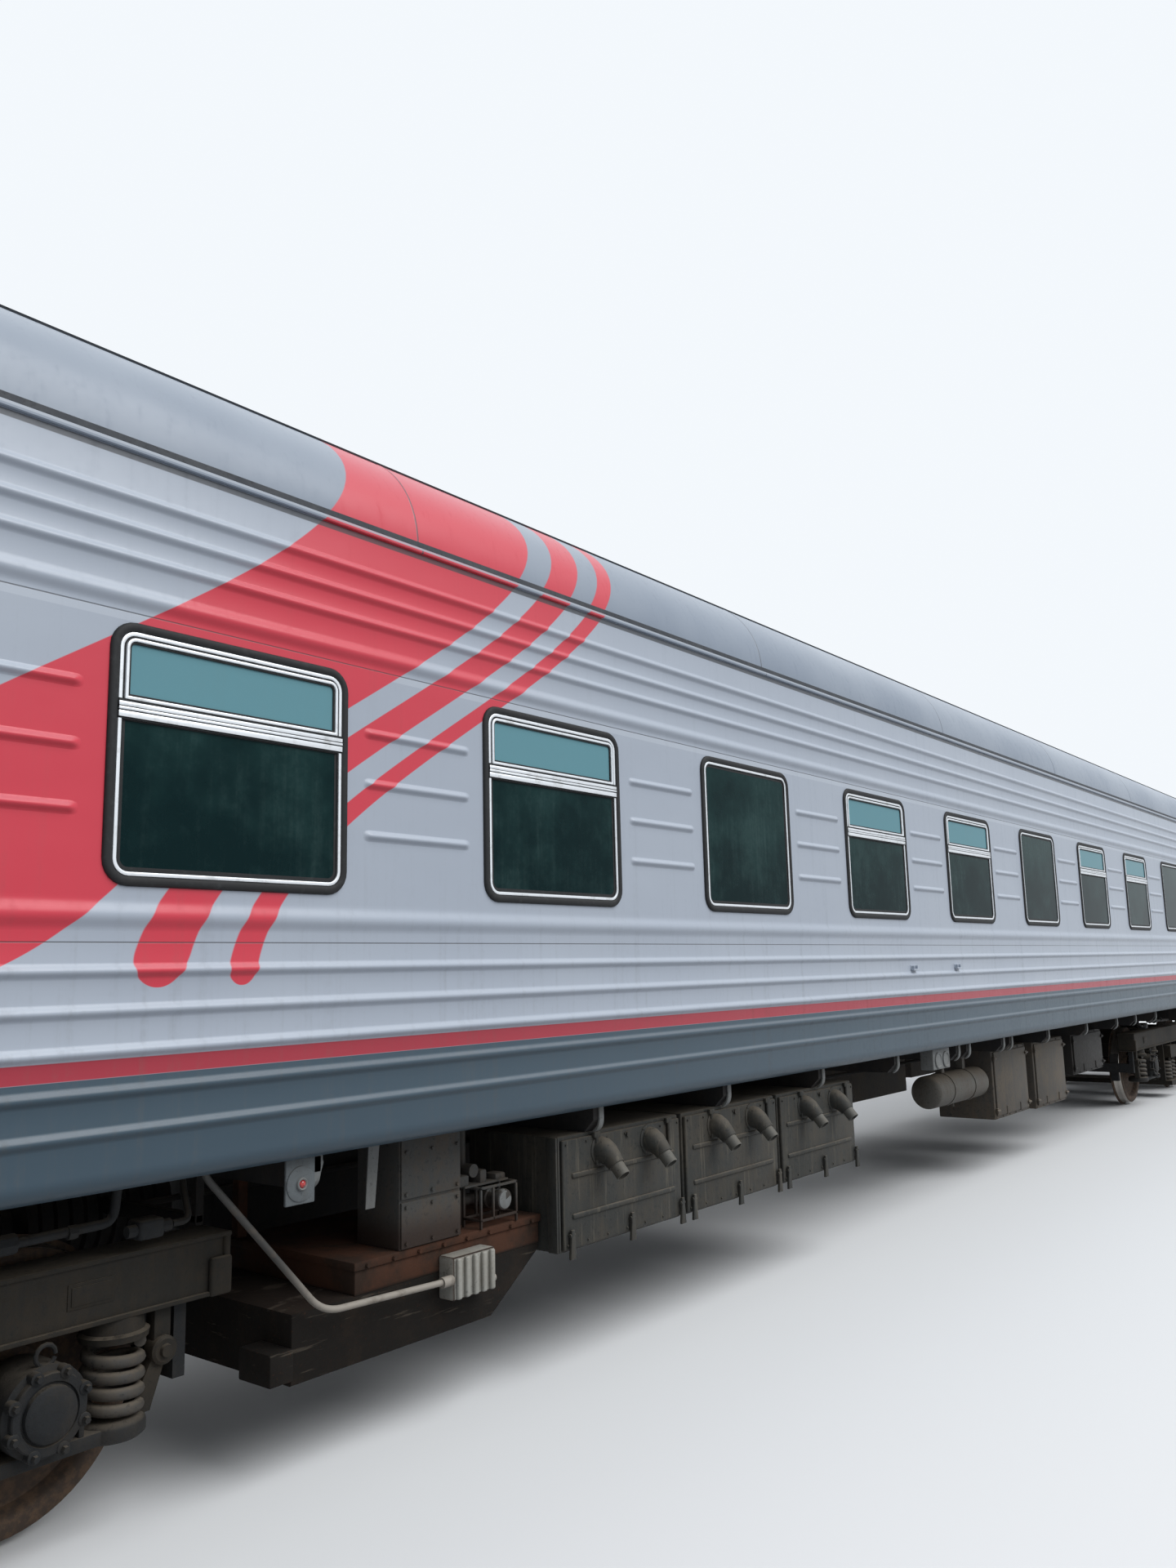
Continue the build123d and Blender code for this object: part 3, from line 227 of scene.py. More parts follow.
def lathe(mesh, section, centre, axis, steps, flip=1):
    """Turns a section, a list of (place along the axis, radius), round an axis and stores the radii."""
    radius = mesh.verts.layers.float.get("radius") or mesh.verts.layers.float.new("radius")
    rings = []
    for index in range(steps):
        turn = 2 * math.pi * index / steps
        c, s = math.cos(turn), math.sin(turn)
        rings.append([])
        for along, reach in section:
            a = flip * along
            point = {"X": (a, reach * c, reach * s), "Y": (reach * s, a, reach * c), "Z": (reach * c, reach * s, a)}
            vert = mesh.verts.new(Vector(centre) + Vector(point[axis]))
            vert[radius] = reach
            rings[-1].append(vert)
    return skin(mesh, rings + rings[:1])


def solid_turn(mesh, section, centre, axis, steps, flip=1):
    """A turned form whose section ends on the axis at both ends."""
    faces = lathe(mesh, section, centre, axis, steps, flip)
    bmesh.ops.remove_doubles(mesh, verts=list({v for f in faces if f.is_valid for v in f.verts}), dist=1e-5)


def islands(mesh):
    """The faces of a mesh, one group for each part that hangs together."""
    left = set(mesh.faces)
    while left:
        group = [left.pop()]
        for face in group:
            near = {other for edge in face.edges for other in edge.link_faces} & left
            left -= near
            group.extend(near)
        yield group


def plain(name, mesh):
    """The mesh as plain data. The faces of each of its parts look away from the part's middle."""
    mesh.normal_update()
    bmesh.ops.recalc_face_normals(mesh, faces=mesh.faces)
    for part in islands(mesh):
        places = [face.calc_center_median() for face in part]
        middle = sum(places, Vector()) / len(part)
        if sum((at - middle).dot(face.normal) * face.calc_area() for at, face in zip(places, part)) < 0:
            bmesh.ops.reverse_faces(mesh, faces=part)
    data = bpy.data.meshes.new(name)
    mesh.to_mesh(data)
    mesh.free()
    return data


def finished(name, mesh, *rest, **settings):
    """Makes a mesh a piece, its normals outward. The rest is what placed takes."""
    return placed(name, plain(name, mesh), *rest, **settings)


def placed(name, data, finishes, slot, replaced=None, body="coach_body", sharp=38):
    """Puts a mesh in the scene as a piece of a body, smooth up to a crease angle."""
    for finish in finishes:
        data.materials.append(finish.material)
    data.shade_smooth()
    data.set_sharp_from_angle(angle=math.radians(sharp))
    piece = bpy.data.objects.new(name, data)
    bpy.context.scene.collection.objects.link(piece)
    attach(piece, body)
    if replaced:
        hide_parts(replaced)
    return piece


def coat(finish, *nodes):
    """Gives CAD nodes a finish."""
    for node in nodes:
        NODES[node].data.materials.clear()
        NODES[node].data.materials.append(finish.material)


wheel_steel = Finish("wheel_steel", Metallic=0.0)
reach = Value(wheel_steel, wheel_steel.add("ShaderNodeAttribute", attribute_name="radius").outputs["Fac"])
speckle = wheel_steel.noise(26, 6, 0.65)
tread = reach.within(0.4735, 0.4835, 0.001)
wheel_steel.set(
    Base_Color=wheel_steel.mixed(colour(62, 50, 41), colour(92, 72, 55), speckle.over(0.4, 0.65)),
    Metallic=tread * 0.9,
    Roughness=0.82 - tread * 0.5,
)
wheel_steel.overlay(colour(176, 172, 166), tread * (0.75 + speckle * 0.2))
wheel_steel.relief(speckle, 0.0012)
axle_steel = grimy("axle_steel", (58, 50, 43), (84, 68, 52), rough=0.7)

for (side, middle), (place, offset) in product(BOGIES.items(), AXLE_OFFSETS.items()):
    which = f"{side}_{place}"
    mesh = bmesh.new()
    for hand in BOTH:
        lathe(mesh, WHEEL_SECTION, (middle + offset, 0, AXLE_Z), "Y", WHEEL_STEPS, hand)
    finished(f"rolled_wheels_{which}", mesh, [wheel_steel], "wheel_steel", f"wheels_{which}", f"wheelset_{which}", 50)
    coat(axle_steel, f"axle_{which}")

# ----------------------------------------------------------------------
# Bogie frames. Two box-section side beams of welded plate, joined by two transoms. Cast plates
# close the beam ends, and arms with damper eyes hang outside the springs. Dark paint under brown
# brake dust.
# ----------------------------------------------------------------------
BEAM_Y = 1.018
BEAM_HALF = 1.915
BEAM_LOW = RAIL + 0.700
BEAM_HIGH = RAIL + 0.920
BEAM_FLANGE = 0.016
BEAM_WEB = 0.080
BEAM_FACE = BEAM_Y + BEAM_WEB + 0.005
BEAM_HALF_WIDTH = 0.102
SHOE_HIGH = BEAM_LOW + 0.136
PLATE_X = 1.360
PLATE_Z = BEAM_LOW + 0.110
TRANSOM_X = 0.45
CUP_R = 0.118
SPRING_OFFSET = 0.300
SPRING_LOW = RAIL + 0.360
SPRING_HIGH = RAIL + 0.620
EYE_X = 0.463
EYE_Z = RAIL + 0.546
SPRING_CUP = [
    (SPRING_HIGH, 0), (SPRING_HIGH, CUP_R), (SPRING_HIGH + 0.022, CUP_R + 0.004),
    (SPRING_HIGH + 0.030, CUP_R - 0.012), (BEAM_LOW, CUP_R - 0.020), (BEAM_LOW, 0),
]
# Distance from the beam's middle, radius
DAMPER_EYE = [(0.010, 0), (0.010, 0.050), (0.066, 0.050), (0.074, 0.040), (0.074, 0.024), (0.088, 0.021), (0.088, 0)]


def about(middle, half):
    """Two places at the same distance from a middle."""
    return middle - half, middle + half


def slab(mesh, x_ends, y_ends, z_ends, bevel=0.004, segments=2):
    """A box with rounded edges, from its two ends on each axis, in any order."""
    low, high = (Vector(pick(ends) for ends in (x_ends, y_ends, z_ends)) for pick in (min, max))
    made = bmesh.ops.create_cube(mesh, size=1)["verts"]
    for vert in made:
        vert.co = vert.co * (high - low) + (high + low) / 2
    if bevel:
        edges = list({edge for vert in made for edge in vert.link_edges})
        bmesh.ops.bevel(mesh, geom=edges, offset=bevel, segments=segments, affect="EDGES", profile=0.5)


def plate(mesh, outline, axis, low, high, bevel=0.0):
    """A flat outline made thick along an axis. Points are given in the two other axes, in order."""
    order = {"X": (2, 0, 1), "Y": (0, 2, 1), "Z": (0, 1, 2)}[axis]
    rows = [[mesh.verts.new([(a, b, level)[i] for i in order]) for a, b in outline] for level in (low, high)]
    caps = [mesh.faces.new(row) for row in rows]
    skin(mesh, rows)
    if bevel:
        rim = [edge for face in caps for edge in face.edges]
        bmesh.ops.bevel(mesh, geom=rim, offset=bevel, segments=2, affect="EDGES", profile=0.5)


bogie_paint = grimy("bogie_paint", (35, 33, 29), (54, 47, 38), rough=0.75, amount=0.7)
cast_steel = grimy("cast_steel", (27, 29, 31), (46, 42, 37), rough=0.7, amount=0.6, dust=0.4, grain=0.0012)

for side, middle in BOGIES.items():
    mesh = bmesh.new()
    for hand in BOTH:
        y = hand * BEAM_Y
        for level in (BEAM_LOW, BEAM_HIGH - BEAM_FLANGE):
            slab(mesh, about(middle, BEAM_HALF), about(y, BEAM_HALF_WIDTH), (level, level + BEAM_FLANGE))
        for web in (-BEAM_WEB, BEAM_WEB):
            slab(mesh, about(middle, BEAM_HALF - 0.02), about(y + web, 0.006), (BEAM_LOW, BEAM_HIGH - 0.008), 0)
        for end in BOTH:
            x = middle + end * BEAM_HALF
            slab(mesh, (x, x - end * 0.030), about(y, 0.100), (BEAM_LOW - 0.006, BEAM_HIGH), 0.012, 3)
            faces = (hand * BEAM_FACE, hand * (BEAM_FACE + 0.026))
            slab(mesh, (x, x - end * 0.093), faces, (BEAM_LOW - 0.004, SHOE_HIGH), 0.012, 3)
            for inset, out in ((0.0, 0.005), (0.012, 0.009)):
                faces = (hand * (BEAM_FACE - 0.002), hand * (BEAM_FACE + out))
                heights = about(PLATE_Z, 0.043 - inset)
                slab(mesh, about(middle + end * PLATE_X, 0.085 - inset), faces, heights, 0.0025)
        for offset in AXLE_OFFSETS.values():
            for x in about(middle + offset, SPRING_OFFSET):
                solid_turn(mesh, SPRING_CUP, (x, y, 0), "Z", 28)
            outwards = math.copysign(1, offset)
            x = middle + offset + outwards * EYE_X
            faces = (hand * (BEAM_Y - 0.010), hand * (BEAM_Y + 0.050))
            solid_turn(mesh, [(BEAM_Y + a, r) for a, r in DAMPER_EYE], (x, 0, EYE_Z), "Y", 24, hand)
            slab(mesh, about(x, 0.034), faces, (EYE_Z + 0.010, BEAM_LOW + 0.004), 0.006)
            foot, foot_z = x - outwards * 0.085, SPRING_LOW - 0.012
            arm = [(x - 0.028, EYE_Z), (foot - 0.045, foot_z), (foot + 0.045, foot_z), (x + 0.028, EYE_Z)]
            plate(mesh, arm, "Y", *faces, bevel=0.006)
    for x in about(middle, TRANSOM_X):
        slab(mesh, about(x, 0.10), (-BEAM_Y, BEAM_Y), (BEAM_LOW, BEAM_HIGH - 0.01), 0.012)
    finished(f"welded_frame_{side}", mesh, [bogie_paint], "bogie_paint", f"bogie_frame_{side}", f"bogie_{side}")
    coat(bogie_paint, f"bogie_bolster_{side}")
    coat(cast_steel, f"brake_gear_{side}")

# ----------------------------------------------------------------------
# Suspension springs. Coils of thick round bar: one pair over each axle box, and two pairs under
# the ends of the bolster. Their paint is worn and full of dust.
# ----------------------------------------------------------------------


class Shape(Net):
    """A geometry tree made for one kind of piece, with named inputs."""

    def __init__(self, name, **sizes):
        super().__init__(bpy.data.node_groups.new(name, "GeometryNodeTree"))
        for way in ("OUTPUT", "INPUT"):
            self.tree.interface.new_socket("Geometry", in_out=way, socket_type="NodeSocketGeometry")
        self.names = {}
        self.sizes = sizes
        for title, size in sizes.items():
            kind = {float: "NodeSocketFloat", int: "NodeSocketInt"}.get(type(size), "NodeSocketObject")
            socket = self.tree.interface.new_socket(title.replace("_", " "), in_out="INPUT", socket_type=kind)
            self.names[title] = socket.identifier
        self.start = self.add("NodeGroupInput")

    def input(self, title):
        return Value(self, self.start.outputs[title.replace("_", " ")])

    def picked(self, title):
        """The shape of the object given as an input."""
        return self.add("GeometryNodeObjectInfo", {"Object": self.input(title)}).outputs["Geometry"]

    def copies(self, pattern, **inputs):
        """Copies a pattern to the carrier's points."""
        inputs = {"Points": self.start.outputs["Geometry"], "Instance": pattern, **inputs}
        return self.add("GeometryNodeInstanceOnPoints", inputs).outputs[0]

    def finish(self, geometry, finish):
        """Ends the tree in Realize Instances and Set Material."""
        real = self.add("GeometryNodeRealizeInstances", {"Geometry": geometry}).outputs[0]
        coated = self.add("GeometryNodeSetMaterial", {"Geometry": real, "Material": finish.material}).outputs[0]
        self.add("NodeGroupOutput", {"Geometry": coated})

    def mesh(self, carrier):
        """Runs the tree on a carrier mesh and returns the plain mesh that it makes."""
        holder = bpy.data.objects.new("carrier", carrier)
        bpy.context.scene.collection.objects.link(holder)
        modifier = holder.modifiers.new("shape", "NODES")
        modifier.node_group = self.tree
        for title, size in self.sizes.items():
            modifier[self.names[title]] = size
        bpy.context.view_layer.update()
        graph = bpy.context.evaluated_depsgraph_get()
        made = bpy.data.meshes.new_from_object(holder.evaluated_get(graph), depsgraph=graph)
        holder.modifiers.remove(modifier)
        bpy.data.objects.remove(holder)
        return made


def carrier_points(places, name=None, kind=None, field=None, values=()):
    """A carrier of loose points, with one value of its own for each if they need it."""
    data = bpy.data.meshes.new("points")
    data.from_pydata(places, [], [])
    if name:
        for row, value in zip(data.attributes.new(name, kind, "POINT").data, values):
            setattr(row, field, value)
    return data


def coils(name, places, bar, mean, height, turns, **piece):
    """Coil springs standing on points, wound by one geometry tree."""
    shape = Shape(name, Bar_Radius=bar, Coil_Radius=mean, Height=height, Turns=turns)
    coil_radius = shape.input("Coil_Radius")
    spiral = shape.add("GeometryNodeCurveSpiral", {
        "Resolution": 22, "Rotations": shape.input("Turns"), "Start Radius": coil_radius,
        "End Radius": coil_radius, "Height": shape.input("Height"),
    })
    ring = shape.add("GeometryNodeCurvePrimitiveCircle", {"Resolution": 10, "Radius": shape.input("Bar_Radius")})
    lines = {"Curve": spiral.outputs[0], "Profile Curve": ring.outputs[0], "Fill Caps": True}
    wound = shape.add("GeometryNodeCurveToMesh", lines)
    shape.finish(shape.copies(wound.outputs[0]), spring_steel)
    placed(name, shape.mesh(carrier_points(places)), [], "spring_steel", sharp=60, **piece)


spring_steel = grimy("spring_steel", (66, 65, 63), (78, 71, 62), rough=0.65, amount=0.6, dust=0.6)
BAR_R = 0.0215
COIL_R = 0.090
AXLE_SPRING_TURNS = 4.1
BOLSTER_SPRING_TURNS = 5.2
BOLSTER_LOW = RAIL + 0.500
BOLSTER_SPRING_X = 0.11
BOLSTER_SPRING_SCALE = 0.85
PLANK_TOP = RAIL + 0.200

for side, middle in BOGIES.items():
    high = [
        (x, hand * BEAM_Y, SPRING_LOW + BAR_R)
        for offset in AXLE_OFFSETS.values()
        for x in about(middle + offset, SPRING_OFFSET)
        for hand in BOTH
    ]
    height = SPRING_HIGH - SPRING_LOW - 2 * BAR_R
    riding = {"body": f"bogie_{side}", "replaced": f"springs_{side}"}
    coils(f"axle_springs_{side}", high, BAR_R, COIL_R, height, AXLE_SPRING_TURNS, **riding)
    low = [(x, hand * BEAM_Y, PLANK_TOP + BAR_R) for x in about(middle, BOLSTER_SPRING_X) for hand in BOTH]
    bar, mean = (radius * BOLSTER_SPRING_SCALE for radius in (BAR_R, COIL_R))
    height = BOLSTER_LOW - PLANK_TOP - 2 * BAR_R
    coils(f"bolster_springs_{side}", low, bar, mean, height, BOLSTER_SPRING_TURNS, body=f"bogie_{side}")

# ----------------------------------------------------------------------
# Axle boxes. Cast housings round the bearings with a spring seat on each side, closed by a
# round cover with a ring of bolts, under a lifting ring. The covers carry thick greasy dirt.
# ----------------------------------------------------------------------
BOX_R = 0.146
BOX_BACK = 0.900
BOX_FRONT = 1.170
COVER_R = 0.128
COVER_BOLTS = 8
DISC_R = 0.088
SEAT_LOW = RAIL + 0.295
BOX_SECTION = [
    (BOX_BACK, 0), (BOX_BACK, 0.130), (BOX_BACK + 0.02, BOX_R - 0.006), (BOX_BACK + 0.05, BOX_R),
    (BOX_FRONT - 0.036, BOX_R), (BOX_FRONT - 0.026, COVER_R), (BOX_FRONT - 0.004, COVER_R),
    (BOX_FRONT, COVER_R - 0.004), (BOX_FRONT, DISC_R + 0.012), (BOX_FRONT - 0.008, DISC_R + 0.008),
    (BOX_FRONT - 0.008, DISC_R + 0.002), (BOX_FRONT + 0.010, DISC_R), (BOX_FRONT + 0.016, DISC_R - 0.008),
    (BOX_FRONT + 0.021, 0.040), (BOX_FRONT + 0.022, 0),
]
BOSS_SECTION = [
    (BOX_FRONT - 0.036, 0), (BOX_FRONT - 0.036, 0.022), (BOX_FRONT + 0.002, 0.022), (BOX_FRONT + 0.004, 0.019),
    (BOX_FRONT + 0.004, 0),
]
CHEEK_X = 0.150
LIFTING_Y = 1.120
LIFTING_Z = AXLE_Z + BOX_R + 0.026
LIFTING_R = 0.034
SEAT_SECTION = [
    (SEAT_LOW, 0), (SEAT_LOW, CUP_R - 0.012), (SEAT_LOW + 0.010, CUP_R), (SPRING_LOW - 0.022, CUP_R),
    (SPRING_LOW - 0.012, CUP_R - 0.004), (SPRING_LOW, CUP_R - 0.020), (SPRING_LOW, 0),
]


def studs(name, places, aims, radius, height, finish, slot, body="coach_body", sides=6):
    """Bolt heads or rivets set on points by one geometry tree. They face one way, or each its own."""
    shape = Shape(name, Head_Radius=radius, Head_Height=height, Sides=sides)
    wide = shape.input("Head_Radius")
    head = shape.add("GeometryNodeMeshCone", {
        "Vertices": shape.input("Sides"), "Radius Top": wide * 0.82, "Radius Bottom": wide,
        "Depth": shape.input("Head_Height"),
    }, fill_type="NGON")
    aim = shape.add("GeometryNodeInputNamedAttribute", {"Name": "aim"}, data_type="FLOAT_VECTOR")
    turn = shape.add("FunctionNodeAlignRotationToVector", {"Vector": aim.outputs["Attribute"]}, axis="Z")
    shape.finish(shape.copies(head.outputs["Mesh"], Rotation=turn.outputs["Rotation"]), finish)
    aims = aims if isinstance(aims, list) else [aims] * len(places)
    carrier = carrier_points(places, "aim", "FLOAT_VECTOR", "vector", aims)
    placed(name, shape.mesh(carrier), [], slot, body=body, sharp=20)


def ring_points(x, y, radius, count):
    """Points round a circle about an axle that faces along Y."""
    turns = [2 * math.pi * (index + 0.5) / count for index in range(count)]
    return [(x + radius * math.cos(turn), y, AXLE_Z + radius * math.sin(turn)) for turn in turns]


def rounded(points, radius, steps=6):
    """A route of straight runs with its corners rounded."""
    points = [Vector(p) for p in points]
    route = [points[0]]
    for before, corner, after in zip(points, points[1:], points[2:]):
        cut = min(radius, (before - corner).length / 2.01, (after - corner).length / 2.01)
        start = corner + (before - corner).normalized() * cut
        end = corner + (after - corner).normalized() * cut
        for step in range(steps + 1):
            share = step / steps
            route.append(start.lerp(corner, share).lerp(corner.lerp(end, share), share))
    return route + [points[-1]]


def sweep(mesh, route, radius, steps=14, bore=0.0):
    """A round tube along a route, of one radius or one at each point. A bore opens its far end."""
    route = [Vector(p) for p in route]
    radii = radius if isinstance(radius, list) else [radius] * len(route)
    side = (route[1] - route[0]).normalized().orthogonal().normalized()
    turns = [2 * math.pi * k / steps for k in range(steps)]
    rings, inner = [], []
    for index, point in enumerate(route):
        heading = (route[min(index + 1, len(route) - 1)] - route[max(index - 1, 0)]).normalized()
        side = (side - heading * side.dot(heading)).normalized()
        up = heading.cross(side)
        round_it = [side * math.cos(t) + up * math.sin(t) for t in turns]
        rings.append([mesh.verts.new(point + spoke * radii[index]) for spoke in round_it])
        if bore and index:
            inner.append([mesh.verts.new(point + spoke * bore) for spoke in round_it])
    skin(mesh, rings)
    mesh.faces.new(rings[0])
    mesh.faces.new(inner[0] if bore else rings[-1])
    if bore:
        skin(mesh, inner)
        skin(mesh, [rings[-1], inner[-1]])


for side, middle in BOGIES.items():
    mesh = bmesh.new()
    bolt_places, bolt_aims = [], []
    for offset, hand in product(AXLE_OFFSETS.values(), BOTH):
        x, y = middle + offset, hand * BEAM_Y
        solid_turn(mesh, BOX_SECTION, (x, 0, AXLE_Z), "Y", 40, hand)
        for seat_x in about(x, SPRING_OFFSET):
            solid_turn(mesh, SEAT_SECTION, (seat_x, y, 0), "Z", 32)
        slab(mesh, about(x, SPRING_OFFSET), about(y, 0.085), (SEAT_LOW + 0.004, SPRING_LOW - 0.012), 0.008)
        for cheek_x in about(x, CHEEK_X):
            slab(mesh, about(cheek_x, 0.010), about(y, 0.080), (SEAT_LOW + 0.03, AXLE_Z))
        for lug_x, _, lug_z in ring_points(x, 0, COVER_R, COVER_BOLTS):
            solid_turn(mesh, BOSS_SECTION, (lug_x, 0, lug_z), "Y", 12, hand)
        turns = [step / 2 for step in range(13)]
        ring = [(x + LIFTING_R * math.cos(t), hand * LIFTING_Y, LIFTING_Z + LIFTING_R * math.sin(t)) for t in turns]
        sweep(mesh, ring, 0.008, steps=8)
        bolt_places += ring_points(x, hand * (BOX_FRONT + 0.008), COVER_R + 0.002, COVER_BOLTS)
        bolt_aims += [(0, hand, 0)] * COVER_BOLTS
    body = f"bogie_{side}"
    finished(f"axle_housings_{side}", mesh, [cast_steel], "bogie_paint", f"axle_boxes_{side}", body)
    studs(f"cover_bolts_{side}", bolt_places, bolt_aims, 0.013, 0.014, cast_steel, "bogie_paint", body)

# ----------------------------------------------------------------------
# Underframe. Welded cross bearers, side sills, body bolsters and draft sills, with a bent pale
# strap from each bearer's end to the sill. The two air pipes of the brake run along it.
# ----------------------------------------------------------------------
PIPE_R = 0.021
PIPE_Y = 0.36
PIPE_Z = RAIL + 1.055
PIPE_END = 11.55
FLOOR_Z = RAIL + 1.270
HANG_Z = FLOOR_Z - 0.002
SKIRT_Z = RAIL + 1.206
ROD_Z = RAIL + 0.860
ROD_END = 6.40
STRAP_Y = 1.360
STRAP_Z = RAIL + 1.140
BEARERS = [-6.450, -4.690, -3.490, -2.330, -1.160, 0.020, 0.250, 1.060, 1.270, 2.300, 3.550, 4.700, 5.500, 6.450]
CYLINDER_X = -3.10
CYLINDER = [
    (0.66, 0), (0.66, 0.03), (0.72, 0.05), (0.74, 0.17), (0.78, 0.18), (0.80, 0.165),
    (1.16, 0.165), (1.18, 0.18), (1.21, 0.18), (1.24, 0.10), (1.24, 0),
]
GENERATOR_Y = 0.36
GENERATOR_Z = RAIL + 0.80
GENERATOR_FINS = [-6.70 + 0.07 * step for step in range(9)]
FIN = [(0, 0.21), (0.006, 0.235), (0.022, 0.235), (0.028, 0.21)]


def arc(a, b, radius, start, end, steps):
    """Points of an arc about a centre, between two angles in degrees."""
    turns = [math.radians(start + (end - start) * step / steps) for step in range(steps + 1)]
    return [(a + radius * math.cos(turn), b + radius * math.sin(turn)) for turn in turns]


def bent_strap(a, outer, inner, b, bend, steps):
    """Outline of a strap that hangs from the sill and bends inwards."""
    outside, inside = (arc(a, b, radius, 0, -bend, steps) for radius in (outer, inner))
    return [(a + outer, SKIRT_Z - 0.001), *outside, *inside[::-1], (a + inner, SKIRT_Z - 0.001)]


def mirrored(outline, hand):
    """The same outline on this side of the coach."""
    return [(hand * a, b) for a, b in outline]


def bar(mesh, x, y, z, radius, steps=10):
    """A straight round bar. One of its three places is a pair: the bar's two ends."""
    ends = [[place[k] if isinstance(place, tuple) else place for place in (x, y, z)] for k in (0, 1)]
    sweep(mesh, ends, radius, steps)


under_paint = grimy("underframe_paint", (38, 38, 39), (58, 52, 46), rough=0.8, amount=0.5, dust=0.4)
pale_rim = grimy("pale_rim", (124, 127, 127), (90, 87, 80), amount=0.5, dust=0.2)
coat(under_paint, "cross_bearers", "side_sills", "draft_sills", "buffer_beams")
coat(cast_steel, "couplers")

mesh = bmesh.new()
for x, hand in product(BEARERS, BOTH):
    strap = bent_strap(STRAP_Y, 0.070, 0.061, STRAP_Z, 70, 7)
    plate(mesh, mirrored(strap, hand), "X", x + 0.002, x + 0.038, bevel=0.0015)
finished("bearer_straps", mesh, [pale_rim], "underframe_paint")

# The gear hung between the bearers: pipes, brake rods with their levers, the brake cylinder,
# cable trunking beside the bogies, and the generator with its ribbed housing.
mesh = bmesh.new()
for y in about(0, PIPE_Y):
    bar(mesh, (-PIPE_END, PIPE_END), y, PIPE_Z, PIPE_R, 14)
for end in BOTH:
    bar(mesh, (end * 0.10, end * ROD_END), 0, ROD_Z, 0.016)
    slab(mesh, about(end * ROD_END, 0.02), about(0, 0.62), about(ROD_Z, 0.035), 0.006)
    for y in about(0, 0.60):
        slab(mesh, about(end * ROD_END, 0.02), about(y, 0.02), (ROD_Z, HANG_Z))
    for y in (-0.78, 0.70):
        slab(mesh, (end * 6.50, end * 8.27), (y, y + 0.16), (RAIL + 1.085, HANG_Z), 0.006)
    for step, y in enumerate((-1.22, -1.16, -1.09)):
        bar(mesh, (end * 6.50, end * 10.20), y, RAIL + 1.215 - 0.022 * step, 0.014)
solid_turn(mesh, CYLINDER, (CYLINDER_X, 0, ROD_Z), "X", 28)
slab(mesh, (-2.30, -2.00), about(0, 0.12), (ROD_Z + 0.13, RAIL + 1.079), 0.006)
housing = [(-6.80, 0), (-6.80, 0.09), (-6.76, 0.10), (-6.74, 0.20)]
housing += [(x + along, reach) for x in GENERATOR_FINS for along, reach in FIN]
housing += [(-6.04, 0.20), (-6.01, 0.10), (-5.98, 0.09), (-5.98, 0)]
solid_turn(mesh, housing, (0, GENERATOR_Y, GENERATOR_Z), "X", 32)
for x in (-6.62, -6.14):
    slab(mesh, about(x, 0.03), about(GENERATOR_Y, 0.03), (GENERATOR_Z + 0.20, HANG_Z), 0.005)
slab(mesh, (-5.90, -4.00), (0.03, 0.62), (RAIL + 0.50, RAIL + 1.02), 0.012)
for x in (-5.80, -5.26):
    slab(mesh, (x, x + 0.06), (0.32, 0.40), (RAIL + 1.01, HANG_Z), 0.005)
finished("underfloor_gear", mesh, [under_paint], "underframe_paint")

# The brake pipe's branch over the near beam of each bogie, with an elbow and cast fittings.
BRANCH_Y = 1.160
COCK_X = 6.964
COCK_Z = RAIL + 1.0
DROP_X = 6.76
# Distance from the coach's middle, radius, half length
FITTINGS = [(7.473, 0.034, 0.030), (7.80, 0.028, 0.022), (7.25, 0.024, 0.016)]
mesh = bmesh.new()
for end, hand in product(BOTH, BOTH):
    y = hand * BRANCH_Y
    branch = [(end * 8.20, y, RAIL + 1.020), (end * 7.10, y, RAIL + 1.045), (end * 7.077, y, HANG_Z)]
    sweep(mesh, rounded(branch, 0.045), 0.017, steps=12)
    for x, radius, half in FITTINGS:
        bar(mesh, about(end * x, half), y, RAIL + 1.037, radius, 8)
    slab(mesh, about(end * COCK_X, 0.050), (hand * 1.10, hand * 1.19), about(COCK_Z, 0.035), 0.014, 3)
    bar(mesh, about(end * COCK_X, 0.085), y, COCK_Z, 0.022, 8)
    drop = [(end * 6.87, y, COCK_Z), (end * 6.80, y, COCK_Z)]
    drop += [(end * DROP_X, y * 0.9, z) for z in (RAIL + 1.12, HANG_Z)]
    sweep(mesh, rounded(drop, 0.05), 0.013, steps=10)
finished("brake_branches", mesh, [cast_steel], "underframe_paint")

# ----------------------------------------------------------------------
# Buffers. A cast housing on the end beam, a round plunger and a thick round plate, greased
# dark. Two stand at each end, beside the automatic coupler.
# ----------------------------------------------------------------------
BUFFER_Y = 0.800
BUFFER_Z = RAIL + 1.110
BUFFER_FROM = 11.722
BUFFER_TO = 12.160
BUFFER_SECTION = [
    (BUFFER_FROM, 0), (BUFFER_FROM, 0.118), (BUFFER_FROM + 0.020, 0.118), (BUFFER_FROM + 0.028, 0.096),
    (BUFFER_FROM + 0.210, 0.092), (BUFFER_FROM + 0.216, 0.100), (BUFFER_FROM + 0.236, 0.100),
    (BUFFER_FROM + 0.240, 0.070), (BUFFER_TO - 0.052, 0.070), (BUFFER_TO - 0.040, 0.160), (BUFFER_TO - 0.030, 0.169),
    (BUFFER_TO - 0.010, 0.169), (BUFFER_TO - 0.002, 0.155), (BUFFER_TO, 0.110), (BUFFER_TO, 0),
]
mesh = bmesh.new()
for end, hand in product(BOTH, BOTH):
    solid_turn(mesh, BUFFER_SECTION, (0, hand * BUFFER_Y, BUFFER_Z), "X", 40, end)
finished("turned_buffers", mesh, [cast_steel], "cast_parts", "buffers")

